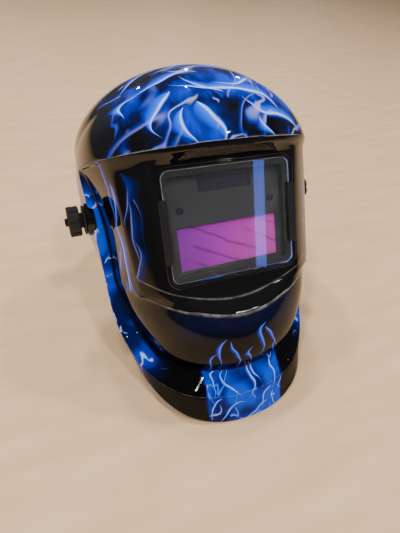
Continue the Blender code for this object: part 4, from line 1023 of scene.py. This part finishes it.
def inBand(x, back, up):
    tilt = math.radians(bandShape["tilt"])
    y, z = bandShape["centre"]
    return np.array((x, y + back * math.cos(tilt) + up * math.sin(tilt),
                     z - back * math.sin(tilt) + up * math.cos(tilt)))


def bandLine(steps):
    scale = np.array((bandShape["halfWidth"], bandShape["halfLength"]))
    keys = bandShape["keys"]
    half = [point * scale for point in smoothCurve([(-keys[1][0], keys[1][1]), *keys], steps)][steps:]
    half.append(np.array((bandShape["tailX"], half[-1][1])))
    line = [point * (-1, 1) for point in half[:0:-1]] + half
    runs = [direction(line, k) for k in range(len(line))]
    return line, [np.array((run[1], -run[0])) for run in runs]


def perforated(piece, columnCount, isHole, thickness, edge):
    # opens holes in a single sheet, then gives it its wall and soft edges
    take(piece)
    bpy.ops.object.mode_set(mode="EDIT")
    bpy.ops.mesh.select_all(action="DESELECT")
    bpy.ops.mesh.select_mode(type="FACE")
    bpy.ops.object.mode_set(mode="OBJECT")
    for face in piece.data.polygons:
        first = min(face.vertices)
        face.select = isHole(first // columnCount, first % columnCount)
    bpy.ops.object.mode_set(mode="EDIT")
    bpy.ops.mesh.delete(type="FACE")
    bpy.ops.object.mode_set(mode="OBJECT")
    applyModifier(piece, "SOLIDIFY", thickness=thickness * mm, offset=1.0, use_even_offset=True)
    applyModifier(piece, "BEVEL", width=edge * mm, segments=2, limit_method="ANGLE",
                  angle_limit=math.radians(50))
    editAll(piece)
    bpy.ops.mesh.normals_make_consistent(inside=False)
    bpy.ops.object.mode_set(mode="OBJECT")
    rounded(piece, 40)


def headband():
    s = bandShape
    line, _ = bandLine(14)
    ups = [-s["height"] / 2 + s["height"] * k / s["rows"] for k in range(s["rows"] + 1)]
    band = sheet("headbandStrap", [[inBand(x, back, up) for up in ups] for x, back in line], False)
    middle = len(line) // 2

    def isHole(row, column):
        fromFront = row - middle
        inSlot = fromFront % s["slotEvery"] < s["slotLength"]
        return abs(fromFront) < s["slotReach"] and inSlot and column in s["slotRows"]

    perforated(band, len(ups), isHole, s["thick"], 0.35)
    return settle(band, bandFinish, "headgear", "band", "headband")


headband()

strapShape = {"width": 18.0, "thick": 1.3, "footX": 74.63, "crown": (129.0, 107.5), "columns": 8,
              "holeEvery": 6, "holesFrom": 24}


def crownStrap(side, sign, lift):
    s = strapShape
    footX = s["footX"]
    crownY, crownZ = s["crown"]
    foot = inBand(footX, -8, -8)
    keys = [foot, inBand(footX, -10, 22), (0.93 * footX, crownY + 8, 0.55 * crownZ),
            (0.66 * footX, crownY + 3, 0.85 * crownZ), (0.28 * footX, crownY, crownZ + lift),
            (0.0, crownY, crownZ + 2.5 + lift), (-0.16 * footX, crownY, crownZ + 2.3 + lift)]
    path = smoothCurve([(sign * x, y, z) for x, y, z in keys], 10)
    rows = []
    for k, point in enumerate(path):
        run = direction(path, k)
        normal = (point - (0.0, crownY, foot[2])) * (1, 0, 1)
        normal = normal - run * normal.dot(run)
        across = np.cross(run, normal / np.linalg.norm(normal))
        marks = [(column / s["columns"] - 0.5) * s["width"] for column in range(s["columns"] + 1)]
        rows.append([point + across * mark for mark in marks])
    strap = sheet("crownStrap_" + side, rows, False)
    if sign < 0:
        turnFaces(strap)

    def isHole(row, column):
        return s["holesFrom"] < row < len(path) - 4 and row % s["holeEvery"] < 2 and column in (3, 4)

    perforated(strap, s["columns"] + 1, isHole, s["thick"], 0.25)
    return settle(strap, bandFinish, "headgear", "band", "crown_strap_" + side)


crownStrap("left", -1, strapShape["thick"] + 0.3)
crownStrap("right", 1, 0.0)

ratchetShape = {"near": 106.1, "thick": 14.0, "radius": 20.0, "lobes": 14, "lobeDepth": 1.3, "axle": 4.3}


def ratchetKnob():
    s = ratchetShape
    near, far = s["near"], s["near"] + s["thick"]
    profile = [(0.0, near + s["axle"]), (s["axle"], near + s["axle"]), (s["axle"], near),
               *softRim(s["radius"], near, far, 1.6), (15.6, far, 0.2), (15.0, far - 0.8), (5.0, far - 0.8),
               (4.2, far - 0.2), (0.0, far)]
    knob = turned("ratchetKnob", profile, 140, s["lobes"], s["lobeDepth"], 1.4)
    back = inBand(0, 1, 0) - inBand(0, 0, 0)
    centre = Vector(inBand(0, 0, 0)) * mm
    turn = Vector((1, 0, 0)).rotation_difference(Vector(back)).to_matrix().to_4x4()
    knob.data.transform(Matrix.Translation(centre) @ turn)
    rounded(knob, 30)
    return settle(knob, knobFinish, "ratchet_wheel", "knob", "ratchet_knob")


ratchetKnob()
print("headgear made")


# sweatband
padShape = {"thick": 4.0, "height": 31.0, "gap": 1.2, "reach": -48.0, "voxel": 2.2, "pressure": 4.0,
            "most": 1.0, "frames": 16, "around": 32, "seamUp": 12.0, "seamDepth": 0.8, "seamWidth": 1.3}


def puffed(piece, shape):
    take(piece)
    piece.data.remesh_voxel_size = shape["voxel"] * mm
    bpy.ops.object.voxel_remesh()
    count = len(piece.data.vertices)
    before = np.empty(count * 3)
    piece.data.vertices.foreach_get("co", before)
    cloth = piece.modifiers.new("Cloth", "CLOTH")
    cloth.settings.use_pressure = True
    cloth.settings.uniform_pressure_force = shape["pressure"]
    cloth.settings.effector_weights.gravity = 0.0
    cloth.settings.quality = 4
    cloth.point_cache.frame_end = shape["frames"]
    scene = bpy.context.scene
    for step in range(1, shape["frames"] + 1):
        scene.frame_set(step)
    after = np.empty(count * 3)
    piece.evaluated_get(bpy.context.evaluated_depsgraph_get()).data.vertices.foreach_get("co", after)
    piece.modifiers.remove(cloth)
    scene.frame_set(1)
    move = (after - before).reshape(-1, 3)
    length = np.linalg.norm(move, axis=1, keepdims=True)
    move *= np.minimum(1.0, shape["most"] * mm / np.maximum(length, 1e-9))
    piece.data.vertices.foreach_set("co", before + move.reshape(-1))


def sweatband():
    s = padShape
    line, normals = bandLine(14)
    front = [k for k, point in enumerate(line) if point[1] < s["reach"]]
    section = []
    for k in range(s["around"] + 1):
        c, d = math.cos(math.tau * k / s["around"]), math.sin(math.tau * k / s["around"])
        out = -s["gap"] - s["thick"] / 2 - math.copysign(1, c) * abs(c) ** 0.5 * s["thick"] / 2
        section.append((out, math.copysign(1, d) * abs(d) ** 0.35 * s["height"] / 2))
    rows = []
    for place in front:
        point, normal = line[place], normals[place]
        rows.append([inBand(*(point + normal * out), up) for out, up in section])
    for end in (0, -1):
        middle = sum(rows[end][:-1]) / s["around"]
        rows.insert(0 if end == 0 else len(rows), [middle] * (s["around"] + 1))
    pad = sheet("sweatbandPad", rows)
    puffed(pad, s)
    seamLines(pad, s)
    applyModifier(pad, "SUBSURF", levels=1, render_levels=1)
    take(pad)
    bpy.ops.object.shade_smooth()
    settle(pad, padFinish, "headgear", "pad", "sweatband")


def seamLines(pad, s):
    # two sewn lines along the pad's face draw it in
    tilt = math.radians(bandShape["tilt"])
    y, z = bandShape["centre"]
    for vertex in pad.data.vertices:
        point = np.array(vertex.co) / mm - (0.0, y, z)
        up = point[1] * math.sin(tilt) + point[2] * math.cos(tilt)
        near = math.exp(-((abs(up) - s["seamUp"]) / s["seamWidth"]) ** 2)
        vertex.co -= Vector(vertex.normal) * (near * s["seamDepth"] * mm)


sweatband()
print("sweatband made")


# finishes of the solids that stay as they are
keptFinishes = {
    trimFinish: ("lens_carrier", "cartridge_retainer", "shade_dial", "sensitivity_dial", "delay_dial",
                 "friction_spacer_left", "friction_spacer_right", "angle_plate_left", "angle_plate_right",
                 "crown_button", "ratchet_case_inner", "ratchet_case_outer"),
    caseFinish: ("filter_case_front", "filter_case_rear"),
    bandFinish: ("adjusting_slab_left", "adjusting_slab_right", "rack_strap_left", "rack_strap_right"),
    steelFinish: ("coin_cell_left", "coin_cell_right", "stop_peg_left", "stop_peg_right", "ratchet_pinion",
                  "retainer_screw_1", "retainer_screw_2", "retainer_screw_3", "retainer_screw_4"),
    sensorFinish: ("arc_sensor_left", "arc_sensor_right"),
    filterFinish: ("filter_glass",), solarFinish: ("solar_cell",), boardFinish: ("circuit_board",),
    lensFinish: ("cover_lens_inner",),
}
softEdges = {"plain": 0.3, "fine": 0.12, "weld": 0.002, "angle": 40}
fineNodes = ("filter_glass", "solar_cell", "cover_lens_inner", "circuit_board", "ratchet_pinion")
for finish, node in [(finish, node) for finish, nodes in keptFinishes.items() for node in nodes]:
    solid = frame["nodes"][node]
    solid.data.materials.clear()
    solid.data.materials.append(finish)
    weld = solid.modifiers.new("Weld", "WELD")
    weld.merge_threshold = softEdges["weld"] * mm
    edge = solid.modifiers.new("Edge", "BEVEL")
    edge.width = softEdges["fine" if node in fineNodes else "plain"] * mm
    edge.segments = 2
    edge.limit_method = "ANGLE"
    edge.angle_limit = math.radians(softEdges["angle"])


# floor, lamps and camera
def makeStage():
    letGo()
    bpy.ops.mesh.primitive_plane_add(size=6.0)
    floor = bpy.context.object
    floor.name = "floor"
    finish, shader = newFinish("paleFloor", Roughness=0.55)
    coords = addNode("TexCoord").outputs["Object"]
    tone = noise(vectorCalc("MULTIPLY", coords, (1.0, 6.0, 1.0)), 9.0, 5.0)
    feed(shader, "Base Color", ramp(tone, (0.3, (0.62, 0.42, 0.24)), (0.7, (0.7, 0.49, 0.3))))
    floor.data.materials.append(finish)
    world = bpy.data.worlds.new("studio")
    bpy.context.scene.world = world
    startNodes(world)
    backdrop = tree.nodes["Background"]
    sky = addNode("TexCoord").outputs["Generated"]
    height = parts(sky)[2]
    patches = noise(sky, 2.6, 1.0)
    height = plus(height, scaled(patches, 0.5, -0.25))
    glow = ramp(height, (0.0, (0.13, 0.125, 0.12)), (0.3, (0.2, 0.2, 0.21)),
                (0.55, (0.09, 0.095, 0.11)), (0.9, (0.2, 0.205, 0.22)))
    feed(backdrop, "Color", glow)
    backdrop.inputs["Strength"].default_value = 0.9


def addLamp(name, place, target, size, power, colour, shape="DISK", height=None):
    lamp = bpy.data.lights.new(name, "AREA")
    lamp.shape = shape
    lamp.size = size
    if height:
        lamp.size_y = height
    lamp.energy = power
    lamp.color = colour
    holder = bpy.data.objects.new(name, lamp)
    bpy.context.collection.objects.link(holder)
    holder.location = place
    holder.rotation_euler = (Vector(target) - Vector(place)).to_track_quat("-Z", "Y").to_euler()
    return holder


def makeLamps():
    warm = (1.0, 0.95, 0.88)
    for k, (x, y) in enumerate(((-0.9, -0.5), (0.3, -1.1), (1.0, 0.2), (0.0, 0.9), (-0.6, 0.7))):
        lamp = addLamp(f"downlight{k}", (x, y, 2.1), (0.0, 0.0, 0.0), 0.16, 21.0, warm)
        lamp.visible_glossy = False
    # small far lamps that only show as glints in the lacquer
    for k, (x, y, z) in enumerate(((1.1, 3.6, 1.15), (2.3, 3.4, 1.2), (-0.2, 3.8, 1.3), (0.6, 2.2, 2.6))):
        addLamp(f"glint{k}", (x, y, z), (0.0, 0.0, 0.2), 0.07, 3.0, warm)
    box = addLamp("softbox", (-1.6, -1.4, 1.5), (0.0, 0.0, 0.1), 1.2, 10.0, (1.0, 0.97, 0.93))
    box.visible_glossy = False
    for k, (x, y, z) in enumerate(((-0.7, -1.6, 1.7), (0.9, -1.0, 2.0))):
        addLamp(f"frontGlint{k}", (x, y, z), (0.0, 0.0, 0.2), 0.045, 1.6, warm)
    windowStrip()


def mirroredFrom(spot):
    # where the camera looks after its ray is turned back by the cover lens at a spot on it
    seen = helmetPlace @ spot
    eye = bpy.context.scene.camera.location
    ray = (seen - eye).normalized()
    return seen, ray - 2 * ray.dot(lensAxis) * lensAxis


stripLamp = {"high": (0.0285, 0.045), "low": (0.0245, -0.045), "away": 1.3, "width": 0.042, "power": 0.28,
             "colour": (0.11, 0.22, 1.0)}


def windowStrip():
    # a lamp whose mirror image runs down the cover lens from one spot on it to another
    high, low = stripLamp["high"], stripLamp["low"]
    ends = []
    for x, z in (high, low):
        seen, ray = mirroredFrom(Vector((x, 0.0, z)))
        ends.append(seen + ray * stripLamp["away"])
    middle = (ends[0] + ends[1]) / 2
    lengthways = (ends[0] - ends[1]).normalized()
    towards = (helmetPlace @ Vector(((high[0] + low[0]) / 2, 0.0, 0.0)) - middle).normalized()
    sideways = lengthways.cross(-towards).normalized()
    strip = addLamp("windowStrip", middle, (0.0, 0.0, 0.0), stripLamp["width"], stripLamp["power"],
                    stripLamp["colour"], "RECTANGLE", (ends[0] - ends[1]).length * 1.06)
    turn = Matrix((sideways, lengthways, sideways.cross(lengthways))).transposed()
    strip.rotation_euler = turn.to_euler()
    strip.visible_diffuse = False
    onlyOn = bpy.data.collections.new("stripReceivers")
    for name in ("coverLens", "windowBezel", "lensClip_left", "lensClip_right"):
        onlyOn.objects.link(bpy.data.objects[name])
    strip.light_linking.receiver_collection = onlyOn


cameraView = {"aim": (0.0097, 0.0, 0.0485), "distance": 0.459, "heading": 24.61, "elevation": 41.98,
              "roll": 5.25, "lens": 27.02}


def makeCamera():
    heading, elevation = math.radians(cameraView["heading"]), math.radians(cameraView["elevation"])
    forward = Vector((math.sin(heading) * math.cos(elevation), math.cos(heading) * math.cos(elevation),
                      -math.sin(elevation)))
    camera = bpy.data.objects.new("camera", bpy.data.cameras.new("camera"))
    bpy.context.collection.objects.link(camera)
    camera.location = Vector(cameraView["aim"]) - forward * cameraView["distance"]
    roll = Matrix.Rotation(math.radians(cameraView["roll"]), 3, "Z")
    camera.rotation_euler = (forward.to_track_quat("-Z", "Y").to_matrix() @ roll).to_euler()
    camera.data.lens = cameraView["lens"]
    camera.data.sensor_width = 36.0
    camera.data.clip_start = 0.01
    bpy.context.scene.camera = camera


makeStage()
makeCamera()
makeLamps()
print("stage ready")
